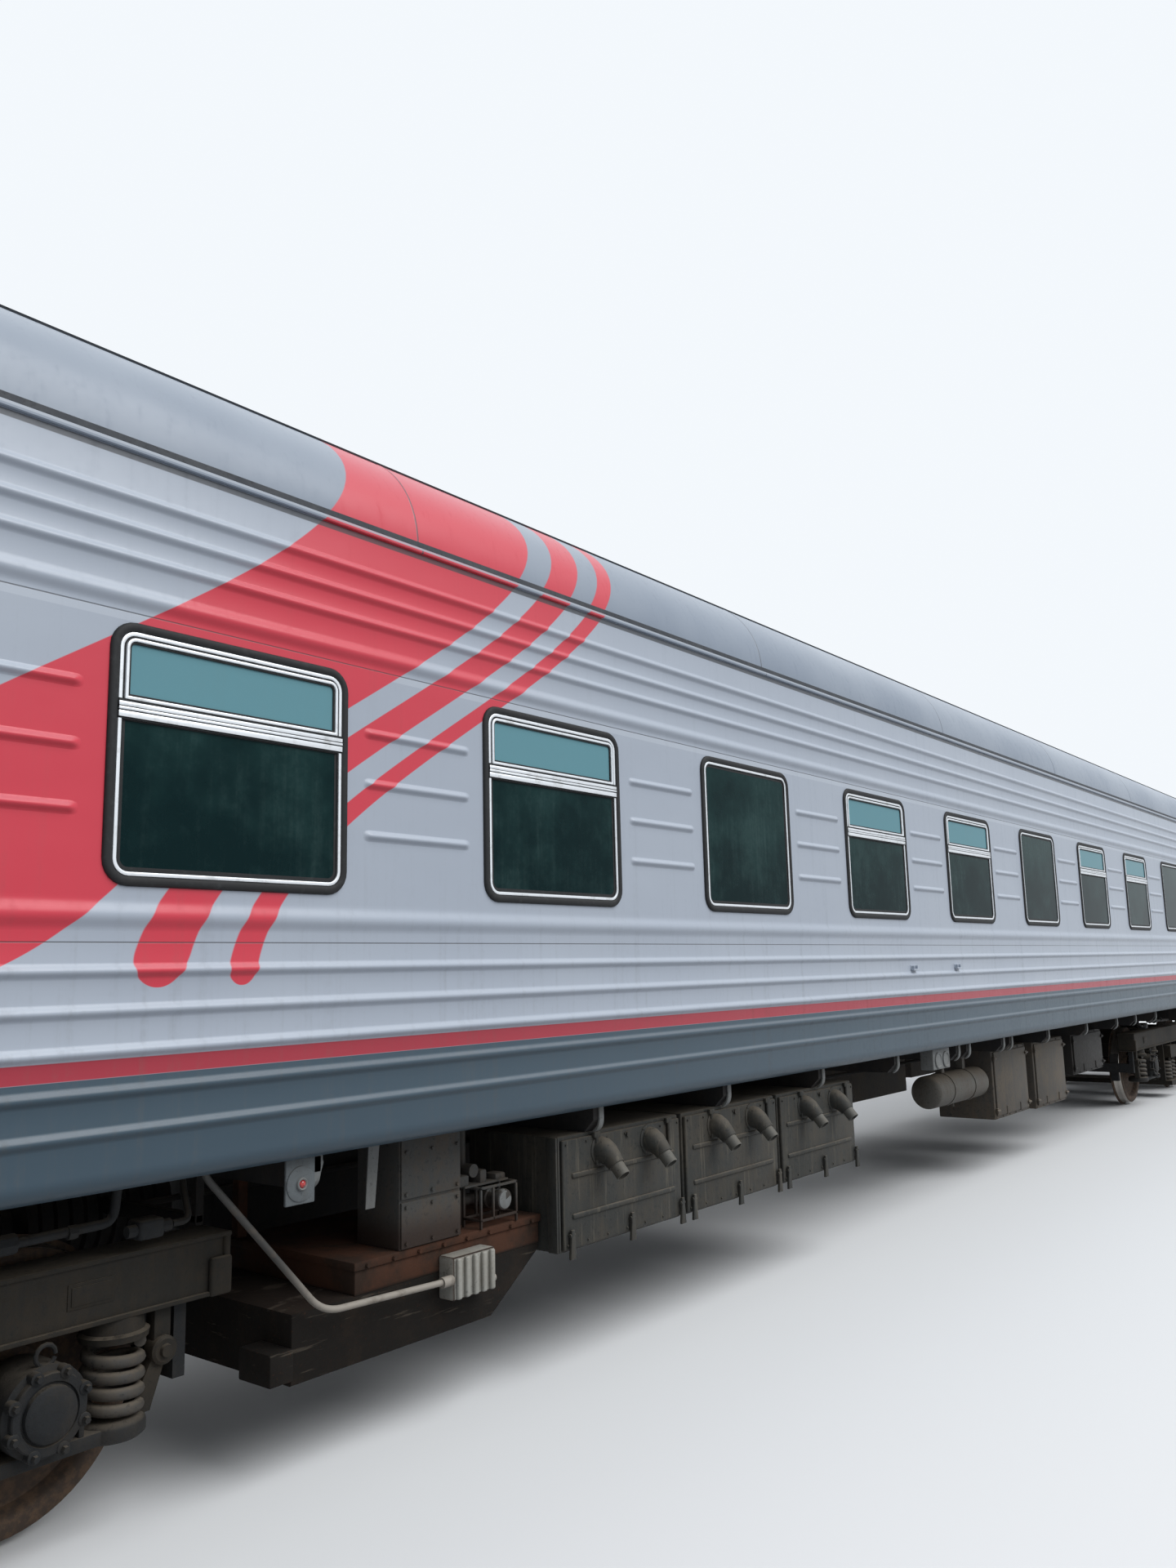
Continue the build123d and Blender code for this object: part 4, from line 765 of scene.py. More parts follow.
# ----------------------------------------------------------------------
# Battery boxes. Three welded steel chests hung under the near side, each with a hinged front,
# two pressed swages, two vent elbows and three latches. Grey paint, dusty and streaked.
# ----------------------------------------------------------------------
CHESTS = [-4.930 + 1.055 * index for index in range(3)]
CHEST_WIDTH = 1.020
CHEST_FRONT = -1.380
CHEST_BACK = CHEST_FRONT + 0.620
CHEST_LOW = RAIL + 0.540
CHEST_HIGH = RAIL + 1.079
SWAGES = [RAIL + 0.701, RAIL + 0.890]
ELBOWS = [0.307, 0.720]
ELBOW_Z = RAIL + 0.985
LATCHES = [0.057, 0.541, 0.995]
HINGES = [0.265, 0.890]
# Distance from the chest's front, radius
ELBOW_FLANGE = [(0.004, 0), (0.004, 0.078), (-0.004, 0.078), (-0.007, 0.074), (-0.007, 0)]
# Distances from the chest's front and from the elbow's middle, radius
COWL = [
    (0.010, 0.0, 0.066), (-0.020, -0.004, 0.064), (-0.048, -0.018, 0.058), (-0.072, -0.038, 0.050),
    (-0.092, -0.060, 0.045), (-0.100, -0.069, 0.043),
]
NOZZLE = [(-0.080, -0.046), (-0.110, -0.080), (-0.142, -0.116)]
NOZZLE_R = 0.036
FACING_NEAR = (0, -1, 0)


def retint(mesh, start, index):
    """Gives the faces made since a count another material."""
    mesh.faces.ensure_lookup_table()
    for face in mesh.faces[start:]:
        face.material_index = index


box_paint = grimy("box_paint", (52, 53, 51), (70, 65, 57), rough=0.66, amount=0.7)
streaks = box_paint.noise(3, 5, 0.65, stretch=(13, 13, 0.6), shift=(3, 0, 0))
box_paint.overlay(colour(104, 99, 88), streaks.over(0.54, 0.70) * 0.5)
nozzle_paint = grimy("nozzle_paint", (92, 92, 88), (84, 78, 68), amount=0.5, dust=0.3)

mesh = bmesh.new()
rivets = []
front = CHEST_FRONT
for x0 in CHESTS:
    x1 = x0 + CHEST_WIDTH
    slab(mesh, (x0, x1), (front + 0.020, CHEST_BACK), (CHEST_LOW, CHEST_HIGH), 0.010, 3)
    slab(mesh, (x0 + 0.012, x1 - 0.012), (front, front + 0.024), (CHEST_LOW + 0.012, CHEST_HIGH - 0.018), 0.008, 3)
    for z in SWAGES:
        slab(mesh, (x0 + 0.075, x1 - 0.075), (front - 0.010, front + 0.006), about(z, 0.013), 0.009, 3)
    for place in ELBOWS:
        x = x0 + place
        solid_turn(mesh, [(front + out, r) for out, r in ELBOW_FLANGE], (x, 0, ELBOW_Z), "Y", 24)
        cowl = [(x, front + out, ELBOW_Z + up) for out, up, _ in COWL]
        sweep(mesh, cowl, [r for *_, r in COWL], steps=22)
        start = len(mesh.faces)
        nozzle = [(x, front + out, ELBOW_Z + up) for out, up in NOZZLE]
        sweep(mesh, nozzle, NOZZLE_R, steps=22, bore=NOZZLE_R - 0.005)
        retint(mesh, start, 1)
    for place in HINGES:
        x = x0 + place
        bar(mesh, x, front - 0.010, (CHEST_HIGH - 0.160, CHEST_HIGH - 0.008), 0.010)
        slab(mesh, about(x, 0.024), (front - 0.018, front + 0.004), (CHEST_HIGH - 0.030, CHEST_HIGH - 0.003))
    bar(mesh, x0 + 0.530, (front + 0.002, front - 0.012), CHEST_HIGH - 0.046, 0.014, 16)
    for place in LATCHES:
        x = x0 + place
        foot, head = CHEST_LOW - 0.028, CHEST_LOW + 0.105
        tongue = [(x - 0.022, foot), (x + 0.022, foot), (x + 0.011, head), (x - 0.011, head)]
        plate(mesh, tongue, "Y", front - 0.022, front - 0.006, bevel=0.004)
        bar(mesh, about(x, 0.018), front - 0.012, CHEST_LOW + 0.080, 0.009)
    for z in (CHEST_LOW + 0.035, CHEST_HIGH - 0.040):
        rivets += [(x0 + 0.035 + step * 0.1583, front - 0.002, z) for step in range(7)]
for x in about(CHESTS[0] - 0.022, 0.008):
    slab(mesh, about(x, 0.006), (front + 0.004, front + 0.060), (CHEST_LOW + 0.010, CHEST_HIGH), 0.002)
finished("battery_chests", mesh, [box_paint, nozzle_paint], "box_paint", "battery_boxes")
studs("chest_rivets", rivets, FACING_NEAR, 0.006, 0.005, box_paint, "box_paint", sides=8)

# ----------------------------------------------------------------------
# Heater trough. A sheet trough below the near side with a sloped right end, a bolted flange
# round its lid and a square drain block at its left end. Its paint has gone to brown rust.
# ----------------------------------------------------------------------
TROUGH_LEFT = -6.400
TROUGH_KNEE = -5.290
TROUGH_RIGHT = -4.960
TROUGH_BOX_LEFT = -6.090
TROUGH_FRONT = -1.250
TROUGH_BACK = -0.400
TROUGH_LOW = RAIL + 0.330
TROUGH_SLOPE = RAIL + 0.560
TROUGH_SHOULDER = RAIL + 0.590
TROUGH_LID = RAIL + 0.700
LID_TOP = TROUGH_LID + 0.020
TROUGH_OUTLINE = [
    (TROUGH_LEFT, TROUGH_LOW), (TROUGH_KNEE, TROUGH_LOW), (TROUGH_RIGHT, TROUGH_SLOPE),
    (TROUGH_RIGHT, TROUGH_SHOULDER), (TROUGH_LEFT, TROUGH_SHOULDER),
]

rust = Finish("rusty_sheet", Specular_IOR_Level=0.2)
flakes = rust.noise(5, 6, 0.66)
pits = rust.noise(60, 4, 0.7)
scrapes = rust.noise(7, 4, 0.6, stretch=(0.5, 1, 7))
high = rust.z.over(TROUGH_SHOULDER - 0.004, TROUGH_SHOULDER + 0.016)
brown = rust.mixed(colour(72, 47, 35), colour(50, 38, 31), flakes.over(0.42, 0.66))
sooty = rust.mixed(colour(21, 18, 15), colour(36, 29, 23), flakes.over(0.45, 0.70))
scraped = rust.mixed(sooty, colour(84, 77, 68), scrapes.over(0.62, 0.70) * 0.5)
rust.set(Base_Color=rust.mixed(scraped, brown, high), Roughness=0.78 + pits * 0.2)
rust.overlay(colour(104, 64, 44), pits.over(0.58, 0.74) * 0.25)
rust.relief(flakes * 0.4 + pits * 0.6, 0.0025)

mesh = bmesh.new()
depth = (TROUGH_FRONT, TROUGH_BACK)
plate(mesh, TROUGH_OUTLINE, "Y", *depth, bevel=0.008)
slab(mesh, (TROUGH_BOX_LEFT, TROUGH_RIGHT + 0.004), depth, (TROUGH_SHOULDER - 0.002, TROUGH_LID))
lid_ends, lid_sides = (TROUGH_BOX_LEFT - 0.010, TROUGH_RIGHT + 0.012), (TROUGH_FRONT - 0.010, TROUGH_BACK + 0.010)
slab(mesh, lid_ends, lid_sides, (TROUGH_LID - 0.014, LID_TOP))
block_ends, block_sides = (TROUGH_LEFT - 0.100, TROUGH_LEFT + 0.010), (TROUGH_FRONT - 0.004, -1.055)
slab(mesh, block_ends, block_sides, (TROUGH_LOW + 0.018, TROUGH_LOW + 0.138), 0.008)
for x in (TROUGH_BOX_LEFT, TROUGH_RIGHT - 0.050):
    slab(mesh, (x, x + 0.050), (TROUGH_BACK - 0.050, TROUGH_BACK), (LID_TOP, HANG_Z))
finished("sheet_trough", mesh, [rust], "rusty_steel", "heater_trough")

lid_bolts = [(TROUGH_BOX_LEFT + 0.055 + step * 0.145, TROUGH_FRONT - 0.013, TROUGH_LID) for step in range(8)]
studs("trough_bolts", lid_bolts, FACING_NEAR, 0.011, 0.010, rust, "rusty_steel")

# ----------------------------------------------------------------------
# Air duct. A riser of folded sheet from the trough's lid to the floor, closed by two bolted
# panels, sooty at its foot. A pale strip hangs beside it from the floor.
# ----------------------------------------------------------------------
DUCT_LEFT = -5.860
DUCT_RIGHT = DUCT_LEFT + 0.365
DUCT_FRONT = TROUGH_FRONT - 0.020
DUCT_BACK = DUCT_FRONT + 0.280
DUCT_SPLIT = LID_TOP + 0.200
STRIP = [(-6.045, RAIL + 0.920), (-5.995, RAIL + 0.920), (-5.962, FLOOR_Z - 0.004), (-6.024, FLOOR_Z - 0.004)]

duct_paint = grimy("duct_paint", (68, 69, 68), (86, 74, 62), rough=0.7, amount=0.6, dust=0.3)
duct_paint.overlay(colour(46, 34, 28), duct_paint.z.under(LID_TOP + 0.04, LID_TOP + 0.17) * 0.85)
mesh = bmesh.new()
slab(mesh, (DUCT_LEFT, DUCT_RIGHT), (DUCT_FRONT + 0.010, DUCT_BACK), (LID_TOP, HANG_Z), 0.006)
for heights in ((LID_TOP + 0.006, DUCT_SPLIT - 0.006), (DUCT_SPLIT + 0.006, FLOOR_Z - 0.030)):
    slab(mesh, (DUCT_LEFT + 0.006, DUCT_RIGHT - 0.006), (DUCT_FRONT, DUCT_FRONT + 0.014), heights, 0.003)
finished("riser_duct", mesh, [duct_paint], "box_paint", "air_duct")

columns = (DUCT_LEFT + 0.030, (DUCT_LEFT + DUCT_RIGHT) / 2, DUCT_RIGHT - 0.030)
heights = (LID_TOP + 0.026, DUCT_SPLIT - 0.026, DUCT_SPLIT + 0.026, FLOOR_Z - 0.150)
panel_bolts = [(x, DUCT_FRONT - 0.003, z) for x, z in product(columns, heights)]
studs("panel_bolts", panel_bolts, FACING_NEAR, 0.009, 0.007, duct_paint, "box_paint")

mesh = bmesh.new()
plate(mesh, STRIP, "Y", -1.262, -1.256, bevel=0.0015)
finished("hanging_strip", mesh, [pale_rim], "underframe_paint")

# ----------------------------------------------------------------------
# Heater conduit. A steel tube bent from the sill down past the trough to a ribbed connector
# box on its front. Dark grey, its paint worn pale on the lower run.
# ----------------------------------------------------------------------
CONDUIT_R = 0.0135
CONDUIT_Y = -1.330
CONDUIT_END = RAIL + 0.565
PLUG_X = -5.620
# Along the coach, height
CONDUIT = [(-6.858, FLOOR_Z - 0.001), (-6.858, RAIL + 1.183), (-6.317, RAIL + 0.592), (PLUG_X, CONDUIT_END)]
PLUG_WIDTH = 0.260
PLUG_FRONT = TROUGH_FRONT - 0.110
PLUG_LOW = RAIL + 0.479
PLUG_HIGH = PLUG_LOW + 0.178
PLUG_RIBS = 5

pale_tube = Finish("pale_tube")
scuffs = pale_tube.noise(12, 5, 0.65)
lower_run = pale_tube.z.under(RAIL + 0.58, RAIL + 0.84)
tube_paint = pale_tube.mixed(colour(50, 49, 47), colour(143, 137, 128), lower_run)
pale_tube.set(Base_Color=tube_paint, Roughness=0.5 + scuffs * 0.3)
pale_tube.overlay(colour(84, 74, 64), scuffs.over(0.48, 0.72) * 0.7)
pale_tube.relief(scuffs, 0.001)
plug_rib = grimy("plug_rib", (158, 158, 152), (112, 104, 92), rough=0.45, amount=0.45, dust=0.2)
mesh = bmesh.new()
sweep(mesh, rounded([(x, CONDUIT_Y, z) for x, z in CONDUIT], 0.090, 8), CONDUIT_R, steps=18)
bar(mesh, (PLUG_X - 0.060, PLUG_X), CONDUIT_Y, CONDUIT_END, 0.023, 20)
plug_end = PLUG_X + PLUG_WIDTH
slab(mesh, (PLUG_X, plug_end), (PLUG_FRONT + 0.018, TROUGH_FRONT - 0.001), (PLUG_LOW, PLUG_HIGH), 0.006)
for face in mesh.faces:
    if face.calc_center_median().x > PLUG_X + 0.001:
        face.material_index = 1
start = len(mesh.faces)
for step in range(PLUG_RIBS):
    x = PLUG_X + PLUG_WIDTH / PLUG_RIBS * (step + 0.5)
    slab(mesh, about(x, 0.014), (PLUG_FRONT, PLUG_FRONT + 0.026), (PLUG_LOW + 0.004, PLUG_HIGH - 0.004), 0.009, 3)
bar(mesh, about(plug_end, 0.004), PLUG_FRONT + 0.030, PLUG_LOW + 0.045, 0.018, 18)
retint(mesh, start, 2)
finished("bent_conduit", mesh, [pale_tube, duct_paint, plug_rib], "underframe_paint", "heater_conduit")

# ----------------------------------------------------------------------
# Drain valve. A cast valve with a pale round cover inside a small cage of welded bars that
# stands on the trough's lid. Its stem goes up to the floor, and small gear lies on the cage.
# ----------------------------------------------------------------------
CAGE_X = (-5.372, -5.122)
CAGE_Y = (-1.270, -1.160)
CAGE_Z = (RAIL + 0.752, RAIL + 0.892)
BAR = 0.012
# Place of each post, height of its foot
CAGE_POSTS = [(-5.372, LID_TOP), (-5.290, CAGE_Z[0]), (-5.134, LID_TOP)]
CAGE_TOP = CAGE_Z[1] + BAR
# Place, half width, height
CAGE_GEAR = [(-5.425, 0.030, 0.050), (-5.300, 0.022, 0.060), (-5.185, 0.034, 0.030)]
VALVE_X = -5.203
VALVE_Z = RAIL + 0.826
STEM_X = -5.329
STEM_Y = -1.100
VALVE_BODY = [
    (-1.262, 0), (-1.262, 0.046), (-1.252, 0.049), (-1.225, 0.049), (-1.220, 0.040),
    (-1.180, 0.040), (-1.175, 0.047), (-1.110, 0.047), (-1.110, 0),
]
VALVE_COVER = [(-1.260, 0), (-1.260, 0.041), (-1.266, 0.040), (-1.269, 0.034), (-1.269, 0)]

mesh = bmesh.new()
for (x, foot), y in product(CAGE_POSTS, CAGE_Y):
    slab(mesh, (x, x + BAR), (y, y + BAR), (foot, CAGE_Z[1]), 0.003)
for z in CAGE_Z:
    for y in CAGE_Y:
        slab(mesh, CAGE_X, (y, y + BAR), (z, z + BAR), 0.003)
    for x in (CAGE_X[0], CAGE_X[1] - BAR):
        slab(mesh, (x, x + BAR), (CAGE_Y[0], CAGE_Y[1] + BAR), (z, z + BAR), 0.003)
shelf_ends, shelf_sides = (CAGE_X[0] - 0.060, CAGE_X[1] - 0.020), (CAGE_Y[0] + 0.040, CAGE_Y[1] + 0.040)
slab(mesh, shelf_ends, shelf_sides, (CAGE_TOP, CAGE_TOP + 0.010), 0.003)
for x, half, tall in CAGE_GEAR:
    heights = (CAGE_TOP + 0.006, CAGE_TOP + 0.006 + tall)
    slab(mesh, about(x, half), (CAGE_Y[0] + 0.050, CAGE_Y[1] + 0.020), heights, 0.008)
bar(mesh, STEM_X - 0.026, (CAGE_Y[0] + 0.060, CAGE_Y[1]), RAIL + 0.972, 0.030, 20)
bar(mesh, STEM_X, STEM_Y, (LID_TOP - 0.004, HANG_Z), 0.022, 14)
sweep(mesh, [(STEM_X, STEM_Y, VALVE_Z), (VALVE_X, STEM_Y - 0.020, VALVE_Z)], 0.026, steps=14)
solid_turn(mesh, VALVE_BODY, (VALVE_X, 0, VALVE_Z), "Y", 28)
start = len(mesh.faces)
solid_turn(mesh, VALVE_COVER, (VALVE_X, 0, VALVE_Z), "Y", 28)
retint(mesh, start, 1)
finished("drain_valve", mesh, [duct_paint, pale_rim], "underframe_paint", "valve_cage")

# ----------------------------------------------------------------------
# Tail lamps. A small grey plate hung from the side sill with a red lens in a pale ring and a
# bent cable gland, and further right a socket box with two round covers.
# ----------------------------------------------------------------------
LAMP_X = -6.590
LAMP_FACE = -1.450
SOCKET_X = (-0.545, -0.215)
# Distance from the lamp's face, radius
LAMP_DISC = [(0.006, 0), (0.006, 0.066), (0, 0.064), (-0.002, 0.060), (-0.002, 0)]
LAMP_RING = [(0, 0.024), (-0.010, 0.023), (-0.013, 0.020), (-0.010, 0.015), (0, 0.015)]
LAMP_LENS = [(-0.006, 0.015), (-0.012, 0.013), (-0.016, 0.007), (-0.017, 0.0), (0, 0.0), (0, 0.015)]
SOCKET_COVER = [(0.008, 0), (0.008, 0.062), (-0.006, 0.060), (-0.008, 0.052), (-0.002, 0.046), (-0.002, 0)]


def mottled(name, first, second, noise, ease, grain=0.0, rough=None, **constants):
    """A plain finish of two colours in a mottle, which can also roughen and raise the surface."""
    finish = Finish(name, **constants)
    mottle = finish.noise(*noise)
    finish.set(Base_Color=finish.mixed(colour(*first), colour(*second), mottle.over(*ease)))
    if rough:
        finish.set(Roughness=rough[0] + mottle * rough[1])
    if grain:
        finish.relief(mottle, grain)
    return finish


def on_face(section):
    """A turned section as places from the coach's middle plane."""
    return [(LAMP_FACE + out, r) for out, r in section]


lamp_paint = grimy("lamp_paint", (98, 104, 107), (78, 76, 72), rough=0.55, amount=0.5, dust=0.3)
red_lens = mottled(
    "red_lens", (190, 24, 20), (132, 14, 14), (90, 2, 0.5), (0.4, 0.6), 0.0008, Roughness=0.15, Coat_Weight=0.6
)
mesh = bmesh.new()
lamp = (LAMP_X + 0.070, 0, SKIRT_Z - 0.095)
plate_depth = (LAMP_FACE + 0.004, LAMP_FACE + 0.018)
slab(mesh, (LAMP_X + 0.004, LAMP_X + 0.138), plate_depth, (SKIRT_Z - 0.170, SKIRT_Z - 0.001), 0.005, 3)
solid_turn(mesh, on_face(LAMP_DISC), lamp, "Y", 32)
for section, index in ((LAMP_RING, 2), (LAMP_LENS, 1)):
    for face in lathe(mesh, on_face(section), lamp, "Y", 28):
        face.material_index = index
start = len(mesh.faces)
gland = bent_strap(LAMP_X + 0.105, 0.085, 0.036, SKIRT_Z - 0.035, 100, 8)
plate(mesh, gland, "Y", LAMP_FACE + 0.020, LAMP_FACE + 0.060, bevel=0.008)
slab(mesh, SOCKET_X, (LAMP_FACE + 0.004, LAMP_FACE + 0.110), (SKIRT_Z - 0.160, SKIRT_Z - 0.001), 0.008, 3)
for share in (0.27, 0.73):
    x = SOCKET_X[0] + share * (SOCKET_X[1] - SOCKET_X[0])
    solid_turn(mesh, on_face(SOCKET_COVER), (x, 0, SKIRT_Z - 0.090), "Y", 28)
retint(mesh, start, 2)
bmesh.ops.remove_doubles(mesh, verts=mesh.verts, dist=1e-5)
finished("tail_lamps", mesh, [lamp_paint, red_lens, pale_rim], "underframe_paint", "lamp_plates")

# ----------------------------------------------------------------------
# Air reservoirs. Rolled steel tanks with pressed domed ends, for the air of the brakes. Two steel
# bands hold each of them under the floor, and a drain plug stands below.
# ----------------------------------------------------------------------
# Left end, right end, distance from the middle, height, radius
TANKS = [(0.100, 1.270, -1.080, RAIL + 0.800, 0.135), (-1.500, 0.300, 1.080, RAIL + 0.820, 0.160)]
DOME = 0.42
tank_paint = grimy("tank_paint", (92, 90, 85), (74, 64, 54), rough=0.62, amount=0.6, dust=0.8)
mesh = bmesh.new()
for x0, x1, y, z, radius in TANKS:
    dome = [(x0 + DOME * (radius - depth), reach) for reach, depth in arc(0, 0, radius, 0, 90, 6)]
    solid_turn(mesh, dome[::-1] + [(x0 + x1 - a, reach) for a, reach in dome], (0, y, z), "X", 36)
    for share in (0.3, 0.7):
        x = x0 + (x1 - x0) * share
        inner, outer = radius - 0.002, radius + 0.006
        band = [(x - 0.022, inner), (x - 0.022, outer), (x + 0.022, outer), (x + 0.022, inner)]
        lathe(mesh, band, (0, y, z), "X", 36)
        slab(mesh, about(x, 0.030), about(y, 0.030), (z + radius - 0.015, HANG_Z))
    bar(mesh, (x0 + x1) / 2, y, (z - radius + 0.01, z - radius - 0.030), 0.012, 12)
finished("banded_reservoirs", mesh, [tank_paint], "underframe_paint", "air_reservoirs")

# ----------------------------------------------------------------------
# Equipment cabinets. Folded sheet boxes for the coach's electrical gear, hung from the floor,
# with a bolted door on hinge pins. Brown grey with dust; the last near one is darkened with painted shade.
# ----------------------------------------------------------------------
# Columns: side, left end, width, distance of the front, depth, bottom
CABINETS = [
    (-1, 1.300, 0.900, 1.220, 0.520, RAIL + 0.460),
    (-1, 2.420, 0.940, 1.220, 0.520, RAIL + 0.440),
    (-1, 3.800, 1.100, 1.180, 0.600, RAIL + 0.640),
    (1, -5.250, 1.500, 1.380, 0.620, RAIL + 0.500),
    (1, -3.500, 1.500, 1.380, 0.620, RAIL + 0.500),
    (1, 1.200, 1.900, 1.300, 0.900, RAIL + 0.480),
    (1, 3.700, 1.300, 1.300, 0.700, RAIL + 0.560),
]
CABINET_TOP = CHEST_HIGH
cabinet_paint = grimy("cabinet_paint", (76, 73, 69), (96, 86, 73), rough=0.66, amount=0.7, dust=0.8)
# Painted shade: the last cabinet on the near side is darkened all over, as if it stood in shadow.
cabinet_paint.overlay(colour(34, 32, 30), cabinet_paint.x.over(3.70, 3.75) * cabinet_paint.y.under(0, 0.1))
mesh = bmesh.new()
cabinet_bolts, cabinet_aims = [], []
for hand, x, width, front, depth, bottom in CABINETS:
    face = hand * front
    outer = face + hand * 0.016
    slab(mesh, (x, x + width), (face, face - hand * depth), (bottom, CABINET_TOP), 0.010, 3)
    door_ends, door_heights = (x + 0.030, x + width - 0.030), (bottom + 0.030, CABINET_TOP - 0.030)
    slab(mesh, door_ends, (face - hand * 0.004, outer), door_heights, 0.006)
    for share in (0.3, 0.7):
        strap = x + share * width
        slab(mesh, about(strap, 0.030), about(hand * (front - depth / 2), 0.030), (CABINET_TOP - 0.004, HANG_Z))
        bar(mesh, strap, outer - hand * 0.002, (bottom + 0.026, bottom + 0.100), 0.012)
    for pin, z in product(door_ends, (bottom + 0.075, CABINET_TOP - 0.085)):
        bar(mesh, about(pin, 0.035), outer + hand * 0.006, z, 0.011)
        slab(mesh, about(pin, 0.014), (face, outer + hand * 0.008), about(z, 0.022))
    for z, step in product((bottom + 0.016, CABINET_TOP - 0.016), range(6)):
        cabinet_bolts.append((x + 0.030 + step * (width - 0.060) / 5, face + hand * 0.003, z))
        cabinet_aims.append((0, hand, 0))
finished("sheet_cabinets", mesh, [cabinet_paint], "box_paint", "equipment_cabinets")
studs("cabinet_bolts", cabinet_bolts, cabinet_aims, 0.008, 0.006, cabinet_paint, "box_paint")

# ----------------------------------------------------------------------
# Side walls. Steel sheet with rounded ribs pressed along it, closed below by a curved skirt.
# Windows are cut in the flat band, with three short ribs pressed between each two. Painted
# light grey with a dark skirt, a thin red line and a broad red ribbon design.
# ----------------------------------------------------------------------
SIDES = {"near": -1, "far": 1}
END_X = 11.800
SIDE_Y = 1.538
INNER_Y = 1.450
RIB_HEIGHT = 0.015
SKIRT_R = 0.073
SKIRT_TOP = SKIRT_Z + SKIRT_R
GUTTER_Z = RAIL + 3.690
# Columns: height above the rail, width
LOW_RIBS = [(1.395, 0.056), (1.523, 0.056), (1.651, 0.056), (1.779, 0.056), (1.907, 0.056), (2.087, 0.104)]
HIGH_RIBS = [(3.172, 0.088)]
TOP_RIBS = [(3.418, 0.056), (3.526, 0.056)]
HEAD_RIB = (3.311, 0.056)
SEAMS = [RAIL + 1.999, RAIL + 3.116]
BAND_LOW = RAIL + 2.150
BAND_HIGH = RAIL + 3.120
DOOR_HEAD = RAIL + 3.330
JAMB_X = 10.840
DOOR_WIDTH = 0.790
RIB_STEPS = 12
WINDOW_PITCH = 1.795
WINDOWS = [0.280 + WINDOW_PITCH * step for step in range(-5, 6)]
WINDOW_SIZE = (1.015, 0.900)
WINDOW_LOW = RAIL + 2.183
WINDOW_TOP = WINDOW_LOW + WINDOW_SIZE[1]
WINDOW_R = 0.092
WINDOW_LAP = 0.028
SMALL_X = 10.250
# Width and height of each kind of window. Their tops are level.
KINDS = {"fixed": WINDOW_SIZE, "sash": WINDOW_SIZE, "small": (0.640, 0.560)}
SHORT_RIBS = [RAIL + 2.427, RAIL + 2.638, RAIL + 2.846]
SHORT_RIB_LENGTH = 0.620
SHORT_RIB_WIDTH = 0.050
SHORT_RIB_FADE = 0.045
RIBBON_LOW = RAIL + 1.850
RIBBON_FROM = -8.050
RIBBON_SWING = 2.300
RIBBON_TOP = RAIL + 4.100
RIBBON_EDGE = 0.004
RIBBON_EDGE_Y = 1.098
# Columns: distance behind the broad ribbon's middle, half width, height of the rounded foot
RIBBONS = [(0.0, 0.575, 0.42), (0.86, 0.105, 0.12), (1.19, 0.060, 0.07)]
LUGS = [-1.020, -0.175]
LUG_Z = RAIL + 1.812

BODY_GREY = colour(163, 172, 185)
ROOF_GREY = colour(122, 134, 150)
SKIRT_GREY = colour(52, 71, 84)
STRIPE_RED = colour(202, 56, 73)
LINE_RED = colour(160, 44, 60)
GRIME = colour(96, 92, 86)


def swath(finish, offset, half, foot):
    """One ribbon of this half width, its lower end rounded over a height."""
    rest = finish.maths("MAXIMUM", 1 - (finish.z - RIBBON_LOW) / foot, 0.0)
    spread = finish.maths("SQRT", finish.maths("MAXIMUM", 1 - rest ** 2, 0.0)) * half
    return abs(offset).under(spread - RIBBON_EDGE, spread + RIBBON_EDGE)


def ribbon(finish):
    """The red design: one broad ribbon that swings up over the cornice, and two thin ones beside it."""
    run = finish.x * finish.maths("SIGN", finish.y) * -1
    rise = (finish.z - RIBBON_LOW) / (RIBBON_TOP - RIBBON_LOW)
    offset = run - (rise.over(0.0, 1.0) * RIBBON_SWING + RIBBON_FROM)
    broad, first, second = (swath(finish, offset - behind, half, foot) for behind, half, foot in RIBBONS)
    thin = finish.maths("MAXIMUM", first, second)
    above = finish.z.over(RIBBON_LOW - 0.002, RIBBON_LOW + 0.002)
    cornice = abs(finish.y).over(RIBBON_EDGE_Y - 0.004, RIBBON_EDGE_Y)
    return finish.maths("MAXIMUM", broad, thin) * above * cornice


